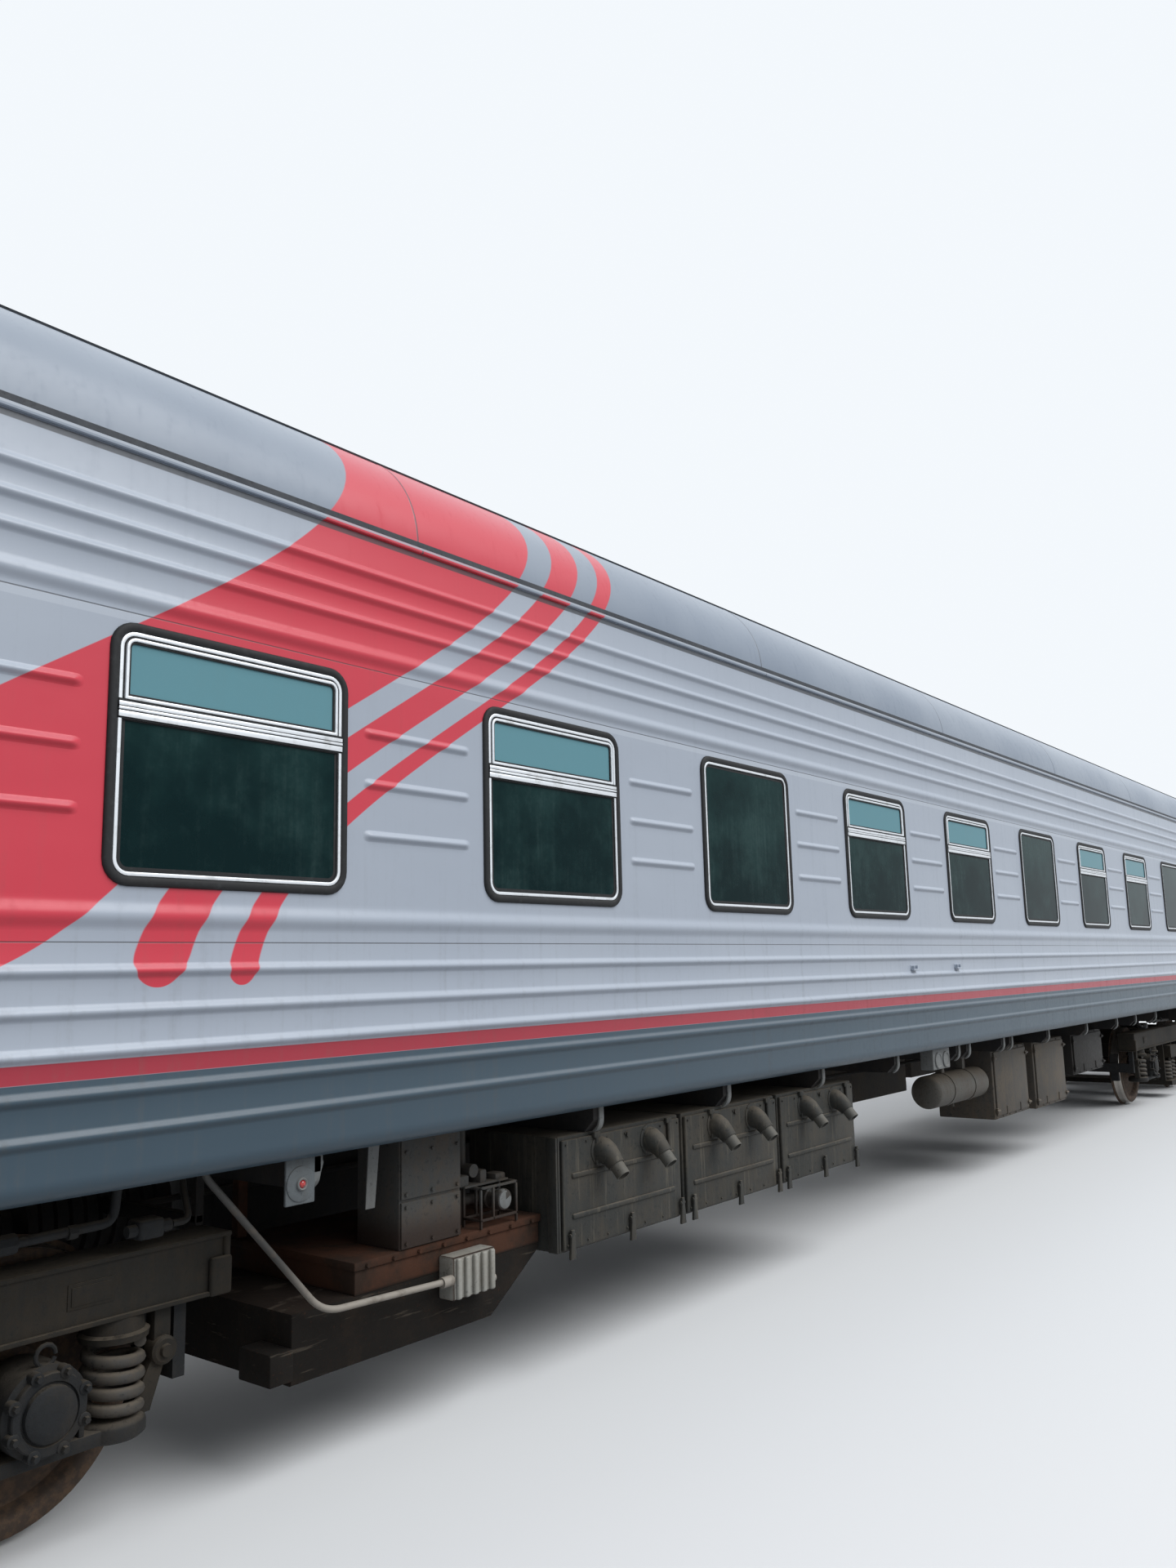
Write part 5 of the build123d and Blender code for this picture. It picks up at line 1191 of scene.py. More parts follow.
def livery(name, base, ribboned=True):
    """Coach enamel: bands of colour by height, thin dirt runs, a slight wave, and painted light: a highlight on faces
    that look up, a reflection over the windows, a shadow under the gutter.
    """
    finish = Finish(name, Coat_Weight=0.12, Coat_Roughness=0.20, Specular_IOR_Level=0.4)
    broad = finish.noise(0.9, 3, 0.5)
    fine = finish.noise(30, 5, 0.7)
    runs = finish.noise(1.6, 5, 0.65, stretch=(16, 16, 0.55))
    low = finish.z.under(RAIL + 1.55, RAIL + 1.58)
    film = (runs * 0.7 + fine * 0.3).over(0.50, 0.74)
    joints = finish.maths("MAXIMUM", *(finish.z.within(*about(z, 0.0022), 0.0012) for z in SEAMS))
    tinted = finish.mixed(base, colour(176, 184, 194), broad.over(0.35, 0.70) * 0.22)
    finish.set(Base_Color=tinted, Roughness=0.34 + fine * 0.14 + film * 0.2 + low * 0.05)
    # Painted reflection: a lighter strip just under the upper seam, above the windows, where the sheet would catch the
    # sky.
    finish.overlay(colour(196, 204, 214), finish.z.within(RAIL + 3.086, RAIL + 3.114, 0.002) * 0.35)
    finish.overlay(SKIRT_GREY, finish.z.under(RAIL + 1.568, RAIL + 1.571))
    finish.overlay(LINE_RED, finish.z.within(RAIL + 1.570, RAIL + 1.628, 0.002))
    if ribboned:
        finish.overlay(STRIPE_RED, ribbon(finish))
    finish.overlay(GRIME, film * (finish.z.under(RAIL + 1.20, RAIL + 2.60) * 0.22 + 0.06))
    # Painted highlight: faces that look up, such as the tops of the ribs and the roof, are lightened towards a pale sky
    # grey, broken up by fine noise.
    upward_highlight = finish.facing_up().over(0.30, 0.80) * (0.25 + fine * 0.35)
    finish.overlay(colour(204, 210, 217), upward_highlight * 0.4)
    finish.overlay(colour(58, 60, 64), joints * 0.75)
    # Painted shadow: a dark band on the wall just under the gutter, where the gutter casts its shade.
    finish.overlay(colour(52, 55, 60), finish.z.within(GUTTER_Z - 0.026, GUTTER_Z - 0.002, 0.002) * 0.85)
    swell = finish.noise(1.7, 2, 0.4, stretch=(1, 1, 1.6))
    finish.relief(swell * 0.9 + (1 - joints) * 0.1 + fine * 0.012, 0.010)
    return finish


def ribbed(ribs, low, high):
    """Points of the outer sheet from low to high, its ribs as raised cosines."""
    shares = [step / RIB_STEPS for step in range(RIB_STEPS + 1)]
    rise = [(SIDE_Y + RIB_HEIGHT * 0.5 * (1 - math.cos(2 * math.pi * share)), share - 0.5) for share in shares]
    raised = [(y, RAIL + centre + at * width) for centre, width in ribs for y, at in rise]
    return [(SIDE_Y, low), *raised, (SIDE_Y, high)]


def wall_run(mesh, hand, outer, x0, x1):
    """A stretch of wall from an outer line of (distance, height) back to the inner face."""
    outline = mirrored([*outer, (INNER_Y, outer[-1][1]), (INNER_Y, outer[0][1])], hand)
    clean = [p for i, p in enumerate(outline) if i == 0 or (Vector(p) - Vector(outline[i - 1])).length > 1e-6]
    plate(mesh, clean, "X", x0, x1)


def round_corners(x_ends, z_ends, radii, steps):
    """Points of a rounded rectangle, anticlockwise. The radii are its top and bottom ones."""
    points = []
    for quarter, (sx, sz) in enumerate([(1, 1), (-1, 1), (-1, -1), (1, -1)]):
        radius = radii[sz < 0]
        x, z = x_ends[sx > 0] - sx * radius, z_ends[sz > 0] - sz * radius
        points += arc(x, z, radius, 90 * quarter, 90 * quarter + 90, steps)
    return points


def soft_outline(x, z, width, height, radius, steps=8):
    """Points of a rounded rectangle about a centre."""
    return round_corners(about(x, width / 2), about(z, height / 2), (radius, radius), steps)


def pierced(name, outer, holes):
    """A flat sheet with holes, filled by a curve, as plain data in its own plane."""
    curve = bpy.data.curves.new(name, "CURVE")
    curve.dimensions = "2D"
    curve.fill_mode = "BOTH"
    for loop in [outer, *holes]:
        spline = curve.splines.new("POLY")
        spline.points.add(len(loop) - 1)
        for point, (a, b) in zip(spline.points, loop):
            point.co = (a, b, 0, 1)
        spline.use_cyclic_u = True
    curve.extrude = (SIDE_Y - INNER_Y) / 2
    holder = bpy.data.objects.new(name, curve)
    bpy.context.scene.collection.objects.link(holder)
    bpy.context.view_layer.update()
    data = bpy.data.meshes.new_from_object(holder.evaluated_get(bpy.context.evaluated_depsgraph_get()))
    bpy.data.objects.remove(holder)
    return data


def line_inside(data, limit):
    """Gives every face that looks into the coach the lining's material."""
    for face in data.polygons:
        if abs(face.center.y) < limit and face.normal.y * face.center.y < 0:
            face.material_index = 1


body_paint = livery("body_enamel", BODY_GREY)
laminate = mottled("pale_laminate", (206, 198, 178), (186, 176, 154), (60, 4, 0.6), (0.4, 0.66), 0.0004, Roughness=0.45)

# Each window of a side: kind, place, height of its middle
window_rows = [("sash" if index % 3 else "fixed", x) for index, x in enumerate(WINDOWS)]
window_rows += [("small", x) for x in about(0, SMALL_X)]
window_rows = [(kind, x, WINDOW_TOP - KINDS[kind][1] / 2) for kind, x in window_rows]
band_outer = [(-JAMB_X, BAND_LOW), (JAMB_X, BAND_LOW), (JAMB_X, BAND_HIGH), (-JAMB_X, BAND_HIGH)]
band_holes = [
    soft_outline(x, z, *(size - 2 * WINDOW_LAP for size in KINDS[kind]), WINDOW_R - WINDOW_LAP)
    for kind, x, z in window_rows
]
band = pierced("window_band", band_outer, band_holes)

skirt = arc(SIDE_Y - SKIRT_R, SKIRT_TOP, SKIRT_R, -90, 0, 8)
low_line = skirt + ribbed(LOW_RIBS, SKIRT_TOP, BAND_LOW)[1:]
# The doorways' upper edge cuts through a rib
cut_turn = 2 * math.pi * (DOOR_HEAD - RAIL - HEAD_RIB[0]) / HEAD_RIB[1]
cut = (SIDE_Y + RIB_HEIGHT * 0.5 * (1 + math.cos(cut_turn)), DOOR_HEAD)
high_line = [p for p in ribbed(HIGH_RIBS + [HEAD_RIB], BAND_HIGH, DOOR_HEAD) if p[1] <= DOOR_HEAD + 1e-6][:-1] + [cut]
top_line = [cut] + [p for p in ribbed([HEAD_RIB], 0, DOOR_HEAD + 0.02)[1:-1] if p[1] > DOOR_HEAD + 1e-6]
top_line += ribbed(TOP_RIBS, 0, GUTTER_Z)[1:]
post_line = skirt + ribbed(LOW_RIBS + HIGH_RIBS, SKIRT_TOP, 0)[1:-1] + high_line[RIB_STEPS + 2:]

for side, hand in SIDES.items():
    mesh = bmesh.new()
    wall_run(mesh, hand, low_line, -JAMB_X, JAMB_X)
    wall_run(mesh, hand, high_line, -JAMB_X, JAMB_X)
    wall_run(mesh, hand, top_line, -END_X, END_X)
    for x0, x1 in ((-END_X, -JAMB_X - DOOR_WIDTH), (JAMB_X + DOOR_WIDTH, END_X)):
        wall_run(mesh, hand, post_line, x0, x1)
    sheet = bmesh.new()
    sheet.from_mesh(band)
    for vert in sheet.verts:
        vert.co = (vert.co.x, hand * (SIDE_Y + INNER_Y) / 2 + vert.co.z, vert.co.y)
    bmesh.ops.remove_doubles(sheet, verts=sheet.verts, dist=1e-6)
    mesh.from_mesh(plain("sheet", sheet))
    data = plain(f"ribbed_side_{side}", mesh)
    line_inside(data, INNER_Y + 0.002)
    placed(f"ribbed_side_{side}", data, [body_paint, laminate], "body_paint", f"side_wall_{side}", sharp=32)

across, lengthways = 10, 8
fades = [column / lengthways for column in range(lengthways + 1)]
# Share of the full height at each place along the rib
runs = [(-1, share) for share in fades] + [(1, 1 - share) for share in fades]
rib = bmesh.new()
grid = []
for row in range(across + 1):
    full = RIB_HEIGHT * 0.5 * (1 - math.cos(2 * math.pi * row / across))
    grid.append([
        rib.verts.new((
            end * (SHORT_RIB_LENGTH / 2 - SHORT_RIB_FADE * share),
            (row / across - 0.5) * SHORT_RIB_WIDTH,
            full * 0.5 * (1 - math.cos(math.pi * share)) - 0.0004,
        ))
        for end, share in runs
    ])
skin(rib, grid, loop=False)
rib_data = bpy.data.meshes.new("short_rib")
rib.to_mesh(rib_data)
rib.free()
rib_pattern = bpy.data.objects.new("short_rib_pattern", rib_data)
# A pattern lies flat and is turned up to face out from its side
UPRIGHT = {"near": (math.pi / 2, 0, 0), "far": (math.pi / 2, 0, math.pi)}
for side, hand in SIDES.items():
    shape = Shape(f"short_ribs_{side}", Pattern=rib_pattern)
    shape.finish(shape.copies(shape.picked("Pattern"), Rotation=UPRIGHT[side]), body_paint)
    places = [(x + WINDOW_PITCH / 2, hand * SIDE_Y, z) for x, z in product(WINDOWS[:-1], SHORT_RIBS)]
    placed(f"pressed_ribs_{side}", shape.mesh(carrier_points(places)), [], "body_paint", sharp=60)
bpy.data.objects.remove(rib_pattern)

mesh = bmesh.new()
for x in LUGS:
    slab(mesh, about(x, 0.045), (-SIDE_Y - 0.028, -SIDE_Y + 0.004), (LUG_Z, LUG_Z + 0.012), 0.003)
    slab(mesh, about(x, 0.045), (-SIDE_Y - 0.006, -SIDE_Y + 0.004), (LUG_Z, LUG_Z + 0.038), 0.003)
    for ear in about(x, 0.030):
        slab(mesh, about(ear, 0.006), (-SIDE_Y - 0.026, -SIDE_Y), (LUG_Z + 0.004, LUG_Z + 0.036), 0.002)
finished("side_lugs", mesh, [body_paint], "body_paint")

# ----------------------------------------------------------------------
# Roof. A rolled steel shell: a flat arc between two shoulder arcs, stiffened by rounded ribs
# along its top, with a folded gutter on each edge. Mid grey enamel, cross seams welded flat,
# and sealed laps that run the whole length.
# ----------------------------------------------------------------------
ROOF_Y = 1.520
ROOF_CROWN = RAIL + 4.381
SHOULDER_R = 0.550
SHOULDER_Z = GUTTER_Z + 0.030
ROOF_THICK = ROOF_Y - INNER_Y
ROOF_RIBS = 13
ROOF_RIB_PITCH = 0.155
ROOF_RIB_WIDTH = 0.062
ROOF_RIB_HEIGHT = 0.011
SHOULDER_Y = ROOF_Y - SHOULDER_R
shoulder_rise = ROOF_CROWN - SHOULDER_Z
ROOF_R = (SHOULDER_R**2 - shoulder_rise**2 - SHOULDER_Y**2) / (2 * (SHOULDER_R - shoulder_rise))
ROOF_CENTRE = ROOF_CROWN - ROOF_R
ROOF_SEAM_PITCH = 2.970
ROOF_SEAMS = [-8.960 + ROOF_SEAM_PITCH * step for step in range(7)]
# Distance from the roof's edge, height above its foot
GUTTER = [
    (-0.006, 0), (0.028, 0), (0.032, 0.004), (0.032, 0.022), (0.026, 0.022), (0.026, 0.008), (-0.006, 0.008),
]
# Place along the roof, height of the seam's bead
BEAD = [(-0.010, -0.0030), (-0.005, 0.0), (0.005, 0.0), (0.010, -0.0030)]
# Angle on the shoulder in degrees, height
LAPS = [(60, 0.009), (2, 0.004)]
LAP_HALF = 0.0120
LAP_SINK = 0.004

roof_paint = livery("roof_enamel", ROOF_GREY)
from_seam = roof_paint.maths("PINGPONG", roof_paint.x - ROOF_SEAMS[0], ROOF_SEAM_PITCH / 2)
# Painted highlight: the outer face of each gutter's lip is lightened to a pale line.
lip_highlight = abs(roof_paint.y).over(ROOF_Y + 0.010, ROOF_Y + 0.014) * roof_paint.z.over(GUTTER_Z + 0.010, GUTTER_Z + 0.014)
roof_paint.overlay(colour(62, 66, 74), from_seam.under(0.003, 0.006) * 0.8)
roof_paint.overlay(colour(178, 186, 196), lip_highlight * 0.8)


def roof_half(inset, ribbed_top, steps=14):
    """Points from the gutter up to the crown on the +Y side, at a distance inside the outer surface."""
    meet = math.atan2(SHOULDER_Z - ROOF_CENTRE, SHOULDER_Y)
    points = [(ROOF_Y - inset, GUTTER_Z)]
    points += arc(SHOULDER_Y, SHOULDER_Z, SHOULDER_R - inset, 0, math.degrees(meet), steps)[:-1]
    top_steps = 120 if ribbed_top else 12
    for step in range(top_steps + 1):
        turn = meet + (math.pi / 2 - meet) * step / top_steps
        reach = ROOF_R - inset
        if ribbed_top:
            run = (math.pi / 2 - turn) * ROOF_R
            near = abs(run - ROOF_RIB_PITCH * min(round(run / ROOF_RIB_PITCH), (ROOF_RIBS - 1) // 2))
            if near < ROOF_RIB_WIDTH / 2:
                reach += ROOF_RIB_HEIGHT * 0.5 * (1 + math.cos(2 * math.pi * near / ROOF_RIB_WIDTH))
        points.append((reach * math.cos(turn), ROOF_CENTRE + reach * math.sin(turn)))
    return points


def arch(half):
    """The whole arch of a half one, from its +Y foot over the crown to the other."""
    return half + mirrored(half[-2::-1], -1)


mesh = bmesh.new()
outline = arch(roof_half(0, True)) + mirrored(arch(roof_half(ROOF_THICK, False)), -1)
plate(mesh, outline, "X", -END_X, END_X)
for hand in BOTH:
    plate(mesh, mirrored([(ROOF_Y + out, GUTTER_Z + up) for out, up in GUTTER], hand), "X", -END_X, END_X)
data = plain("rolled_roof", mesh)
for face in data.polygons:
    y, z = abs(face.center.y), face.center.z
    if abs(face.normal.x) < 0.5 and face.normal.z < 0.05 and y < INNER_Y + 0.01 and z > GUTTER_Z + 0.002:
        face.material_index = 1
placed("rolled_roof", data, [roof_paint, laminate], "roof_paint", "roof", sharp=32)

mesh = bmesh.new()
loop = arch(roof_half(-0.0015, False))
for x in ROOF_SEAMS:
    skin(mesh, [
        [mesh.verts.new((x + along, y * (1 + lift / 1.5), z + lift)) for y, z in loop] for along, lift in BEAD
    ], loop=False)
finished("roof_seams", mesh, [roof_paint], "roof_paint", sharp=60)

lap_seal = grimy("lap_seal", (56, 60, 66), (88, 90, 92), amount=0.4, dust=0.2)
mesh = bmesh.new()
for hand, (angle, out) in product(BOTH, LAPS):
    normal = Vector((math.cos(math.radians(angle)), math.sin(math.radians(angle))))
    middle = Vector((SHOULDER_Y, SHOULDER_Z)) + normal * SHOULDER_R
    along = Vector((-normal.y, normal.x)) * LAP_HALF
    sides = ((-1, -LAP_SINK), (-1, out), (1, out), (1, -LAP_SINK))
    corners = [middle + along * way + normal * height for way, height in sides]
    plate(mesh, mirrored(corners, hand), "X", -END_X + 0.004, END_X - 0.004)
finished("lap_seams", mesh, [lap_seal], "roof_paint", sharp=20)

# ----------------------------------------------------------------------
# End walls. Flat steel sheet with the gangway doorway in its middle, welded to the corner posts.
# Painted like the sides, without the red design.
# ----------------------------------------------------------------------
end_paint = livery("end_enamel", BODY_GREY, ribboned=False)
coat(end_paint, "end_walls")

# ----------------------------------------------------------------------
# Gangways. Thick moulded rubber tubes in an arch round the end door, over a steel foot plate.
# The next coach's tubes press against them.
# ----------------------------------------------------------------------
GANGWAY_HALF = 0.750
GANGWAY_TOP = RAIL + 3.640
GANGWAY_FOOT = RAIL + 1.294
GANGWAY_TUBE = 0.230
GANGWAY_REACH = 0.330
GANGWAY_CORNER = 0.130
GANGWAY_STEPS = 24
SQUARENESS = 0.55

gangway_rubber = mottled(
    "gangway_rubber", (34, 34, 35), (72, 68, 63), (9, 5, 0.6), (0.45, 0.72), 0.003, (0.72, 0.2), Specular_IOR_Level=0.3
)
mesh = bmesh.new()
half = GANGWAY_TUBE / 2
centre = GANGWAY_HALF - half
corner_y, corner_z = centre - GANGWAY_CORNER, GANGWAY_TOP - half - GANGWAY_CORNER
path = [
    (-centre, GANGWAY_FOOT),
    *arc(-corner_y, corner_z, GANGWAY_CORNER, 180, 90, 8),
    *arc(corner_y, corner_z, GANGWAY_CORNER, 90, 0, 8),
    (centre, GANGWAY_FOOT),
]
# The tube's section, a circle drawn out towards a square: distance across the arch, out from the end
section = []
for across, out in arc(0, 0, 1, 0, 360, GANGWAY_STEPS)[:-1]:
    swell, bulge = (math.copysign(abs(share) ** SQUARENESS, share) for share in (across, out))
    section.append((swell * half, GANGWAY_REACH / 2 * (1 + bulge)))
for end in BOTH:
    rows = []
    for index, (y, z) in enumerate(path):
        heading = Vector(path[min(index + 1, len(path) - 1)]) - Vector(path[max(index - 1, 0)])
        outward = heading.normalized().orthogonal()
        rows.append([
            mesh.verts.new((end * (END_X + out), y + outward.x * across, z + outward.y * across))
            for across, out in section
        ])
    skin(mesh, rows)
    mesh.faces.new(rows[0])
    mesh.faces.new(rows[-1])
finished("rubber_gangways", mesh, [gangway_rubber], "gangway_rubber", "gangways", sharp=50)

tread_plate = grimy("tread_plate", (96, 94, 90), (70, 62, 54), rough=0.5, metal=0.6, dust=0.4)
mesh = bmesh.new()
for end in BOTH:
    plate_ends = (end * END_X, end * (END_X + GANGWAY_REACH))
    slab(mesh, plate_ends, about(0, GANGWAY_HALF - GANGWAY_TUBE), (GANGWAY_FOOT, GANGWAY_FOOT + 0.036))
finished("gangway_plates", mesh, [tread_plate], "gangway_rubber")

# ----------------------------------------------------------------------
# Windows. Each is glazed in a thick black rubber gasket lapped over the sheet, with bright
# drawn aluminium frames inside. Two in three have a drop sash above a double transom bar.
# ----------------------------------------------------------------------
GASKET_WIDTH = 0.034
# Distance inside the gasket's edge, height above the sheet
GASKET = [
    (0.000, 0.0005), (0.001, 0.006), (0.005, 0.0110), (0.012, 0.0138), (0.022, 0.0135), (0.029, 0.0108),
    (0.033, 0.0070), (0.035, 0.0020), (0.064, 0.0008), (0.064, -0.0030), (0.029, -0.0060), (0.029, 0.0005),
]
TRIM_WIDTH = 0.014
TRIM_OUT = 0.0095
SASH_GAP = 0.008
SASH_TRIM = 0.012
SASH_RUBBER = 0.008
PANE_RUBBER = 0.004
# Distances below the window's top
SASH_END = 0.272
UPPER_BAR = (0.281, 0.309)
LOWER_BAR = (0.313, 0.334)
TRANSOM_END = 0.340

window_rubber = mottled(
    "window_rubber", (18, 19, 21), (44, 46, 47), (22, 5, 0.6), (0.50, 0.78), 0.0008, (0.55, 0.25),
    Specular_IOR_Level=0.35,
)
bright_trim = Finish("bright_trim")
haze = bright_trim.noise(14, 5, 0.65)
dull = haze.over(0.50, 0.80)
bright_trim.set(
    Base_Color=bright_trim.mixed(colour(224, 228, 232), colour(186, 189, 190), dull),
    Metallic=0.55 - dull * 0.2,
    Roughness=0.30 + haze * 0.16,
)
bright_trim.relief(haze, 0.0004)


def drawn_in(ends, inset):
    """Two ends moved inwards."""
    return ends[0] + inset, ends[1] - inset


def frame_ring(mesh, x_ends, z_ends, radii, section):
    """A closed moulding swept round a rounded rectangle, whose radii are its top and bottom ones."""
    rows = []
    for inset, out in section:
        bends = [max(radius - inset, 0.0015) for radius in radii]
        outline = round_corners(drawn_in(x_ends, inset), drawn_in(z_ends, inset), bends, 6)
        rows.append([mesh.verts.new((x, z, out)) for x, z in outline])
    skin(mesh, rows + rows[:1])


def moulding(width, out, start=0.0, back=-0.003):
    """Section of a bar with soft edges, from an inset, as wide and as proud as given."""
    soft = min(width, out - back) * 0.28
    near = [(0, back), (0, out - soft), (soft * 0.3, out - soft * 0.3), (soft, out)]
    return [(start + a, b) for a, b in near] + [(start + width - a, b) for a, b in near[::-1]]


def bright_ring(rubber, bright, x_ends, z_ends, radii):
    """A bright frame with rubber along its inner edge."""
    frame_ring(bright, x_ends, z_ends, radii, moulding(TRIM_WIDTH, TRIM_OUT))
    soft = [max(radius - TRIM_WIDTH, 0.003) for radius in radii]
    frame_ring(rubber, drawn_in(x_ends, TRIM_WIDTH), drawn_in(z_ends, TRIM_WIDTH), soft, moulding(PANE_RUBBER, 0.005))


def window_parts(kind, width, height):
    """Rubber and bright parts of one window about its middle, in x, z and out from the sheet."""
    half_z = height / 2
    rubber, bright = bmesh.new(), bmesh.new()
    frame_ring(rubber, about(0, width / 2), about(0, half_z), (WINDOW_R, WINDOW_R), GASKET)
    ends = about(0, width / 2 - GASKET_WIDTH)
    bottom, top = about(0, half_z - GASKET_WIDTH)
    corner = WINDOW_R - GASKET_WIDTH
    if kind != "sash":
        bright_ring(rubber, bright, ends, (bottom, top), (corner, corner))
        return rubber, bright
    sash_low = half_z - SASH_END
    lower_top = half_z - TRANSOM_END
    above = (sash_low - 0.020, top)
    frame_ring(bright, ends, above, (corner, 0.002), moulding(TRIM_WIDTH, 0.0085))
    frame_ring(rubber, ends, above, (corner, 0.002), moulding(SASH_GAP + 0.002, 0.0035, TRIM_WIDTH - 0.001))
    step = TRIM_WIDTH + SASH_GAP
    sash_ends, sash_heights = drawn_in(ends, step), (sash_low, top - step)
    round_top = max(corner - step, 0.020)
    frame_ring(bright, sash_ends, sash_heights, (round_top, 0.003), moulding(SASH_TRIM, 0.0120))
    glazing = [drawn_in(pair, SASH_TRIM) for pair in (sash_ends, sash_heights)]
    frame_ring(rubber, *glazing, (max(round_top - SASH_TRIM, 0.012), 0.006), moulding(SASH_RUBBER, 0.0065))
    bright_ring(rubber, bright, ends, (bottom, lower_top + TRIM_WIDTH), (0.004, corner))
    slab(rubber, ends, (lower_top, sash_low + 0.001), (-0.002, 0.0095), 0)
    high, low = (half_z - below for below in UPPER_BAR)
    groove = (high + low) / 2 - 0.004
    slab(bright, ends, (low, groove), (0.0, 0.0150), 0.002)
    slab(bright, ends, (groove + 0.003, high), (0.0, 0.0140), 0.002)
    slab(rubber, ends, (low + 0.002, high - 0.002), (0.0, 0.0115), 0)
    slab(bright, ends, [half_z - below for below in LOWER_BAR], (0.0, 0.0135), 0.002)
    return rubber, bright


patterns = {"gaskets": {}, "trims": {}}
for kind, (width, height) in KINDS.items():
    for part, mesh in zip(patterns, window_parts(kind, width, height)):
        patterns[part][kind.title()] = bpy.data.objects.new(f"{kind}_{part}", plain(f"{kind}_{part}", mesh))
places = {hand: [(x, hand * SIDE_Y, z) for _, x, z in window_rows] for hand in BOTH}
marks = [list(KINDS).index(kind) for kind, *_ in window_rows]
for (side, hand), (part, finish) in product(SIDES.items(), (("gaskets", window_rubber), ("trims", bright_trim))):
    shape = Shape(f"window_{part}_{side}", **patterns[part])
    joined = shape.add("GeometryNodeJoinGeometry")
    stored = shape.add("GeometryNodeInputNamedAttribute", {"Name": "kind"}, data_type="INT")
    for number, title in enumerate(patterns[part]):
        wanted = shape.maths("COMPARE", stored.outputs[0], number, 0.1)
        copies = shape.copies(shape.picked(title), Selection=wanted, Rotation=UPRIGHT[side])
        shape.tree.links.new(copies, joined.inputs[0])
    shape.finish(joined.outputs[0], finish)
    data = shape.mesh(carrier_points(places[hand], "kind", "INT", "value", marks))
    replaced = f"window_frames_{side}" if part == "gaskets" else None
    placed(f"window_{part}_{side}", data, [], "window_rubber", replaced, sharp=40)
for group in patterns.values():
    for holder in group.values():
        bpy.data.objects.remove(holder)

glass = Finish("tinted_glass", Specular_IOR_Level=0.04, IOR=1.5)
film = glass.noise(2.3, 6, 0.62)
specks = glass.noise(44, 5, 0.7)
drips = glass.noise(3.0, 5, 0.6, stretch=(12, 12, 0.8))
third = glass.maths("FRACT", (glass.x - WINDOWS[0]) / (3 * WINDOW_PITCH) + 1 / 6)
with_sash = third.over(0.332, 0.335) * abs(glass.x).under(9.80, 9.84)
upper = glass.z.over(WINDOW_LOW + 0.585, WINDOW_LOW + 0.595) * with_sash
# Painted reflection: the glass tint lightens towards the top of the panes, as if the sky showed in them, broken into
# cloudy patches by noise.
reflection_and_film = (film + glass.z * 0.35 - WINDOW_LOW * 0.35).over(0.45, 0.85)
dusted = (film * 0.5 + drips * 0.3 + specks * 0.2).over(0.46, 0.68)
glass.set(
    Base_Color=glass.mixed(colour(14, 36, 38), colour(30, 57, 57), reflection_and_film),
    Roughness=0.06 + dusted * 0.12,
    Alpha=0.96 + dusted * 0.03,
)
glass.overlay(colour(108, 154, 165), upper * 0.95)
glass.overlay(colour(98, 118, 116), dusted * 0.12)
coat(glass, "window_panes_near", "window_panes_far")

# ----------------------------------------------------------------------
# Side doors. Hinged steel leaves set back in their doorways, painted like the sides, each with
# a window in a rubber strip, a lever handle and two pressed stiffening panels.
# ----------------------------------------------------------------------
ENDS = {"left": -1, "right": 1}
LEAF_OUT = 1.495
LEAF_THICK = 0.045
LEAF_LOW = RAIL + 1.340
LEAF_HIGH = RAIL + 3.320
LEAF_FROM, LEAF_TO = 10.853, 11.622
LEAF_MIDDLE = (LEAF_FROM + LEAF_TO) / 2
DOOR_PANE_HALF = (0.215, 0.380)
DOOR_PANE_TOP = LEAF_HIGH - 0.180
PANE_MIDDLE = DOOR_PANE_TOP - DOOR_PANE_HALF[1]
STRIP_HALF_X, STRIP_HALF_Z = (half + 0.018 for half in DOOR_PANE_HALF)
LEVER_X = DOOR_PANE_HALF[0] + 0.075
LEVER_Z = LEAF_LOW + 0.97
PANEL_HALF = 0.27
PANELS = [(LEAF_LOW + 0.12, LEAF_LOW + 0.52), (LEAF_LOW + 0.56, LEAF_LOW + 0.80)]
# Distance inside the panel's edge, height above the leaf
PANEL_EDGE = [(0.0, -0.001), (0.008, 0.0045), (0.020, 0.0045), (0.028, -0.001)]


def dress_door(kind, which, paint, place):
    """Coats one leaf and fits its rubber strips, lever and panels. Place turns (across, up, out) into a point."""
    coat(paint, f"{kind}door_{which}")
    coat(glass, f"{kind}door_pane_{which}")
    rubber, metal, panel = bmesh.new(), bmesh.new(), bmesh.new()
    for face, way in ((0, 1), (-LEAF_THICK, -1)):
        section = [(inset, face + way * out) for inset, out in moulding(0.030, 0.007)]
        frame_ring(rubber, about(0, STRIP_HALF_X), about(PANE_MIDDLE, STRIP_HALF_Z), (0.040, 0.040), section)
    slab(metal, about(LEVER_X, 0.022), (LEVER_Z - 0.11, LEVER_Z + 0.05), (-0.001, 0.006), 0.003)
    lever = [(LEVER_X, LEVER_Z, 0.004), (LEVER_X, LEVER_Z, 0.034), (LEVER_X - 0.125, LEVER_Z, 0.034)]
    sweep(metal, rounded(lever, 0.014), 0.008, steps=10)
    for heights in PANELS:
        frame_ring(panel, about(0, PANEL_HALF), heights, (0.030, 0.030), PANEL_EDGE)
    fittings = (
        ("pane_strip", rubber, window_rubber, "window_rubber"),
        ("door_lever", metal, bright_trim, "body_paint"),
        ("door_panel", panel, paint, "body_paint"),
    )
    for name, mesh, finish, slot in fittings:
        for vert in mesh.verts:
            vert.co = place(*vert.co)
        finished(f"{kind}{name}_{which}", mesh, [finish], slot, body=f"{kind}door_{which}")


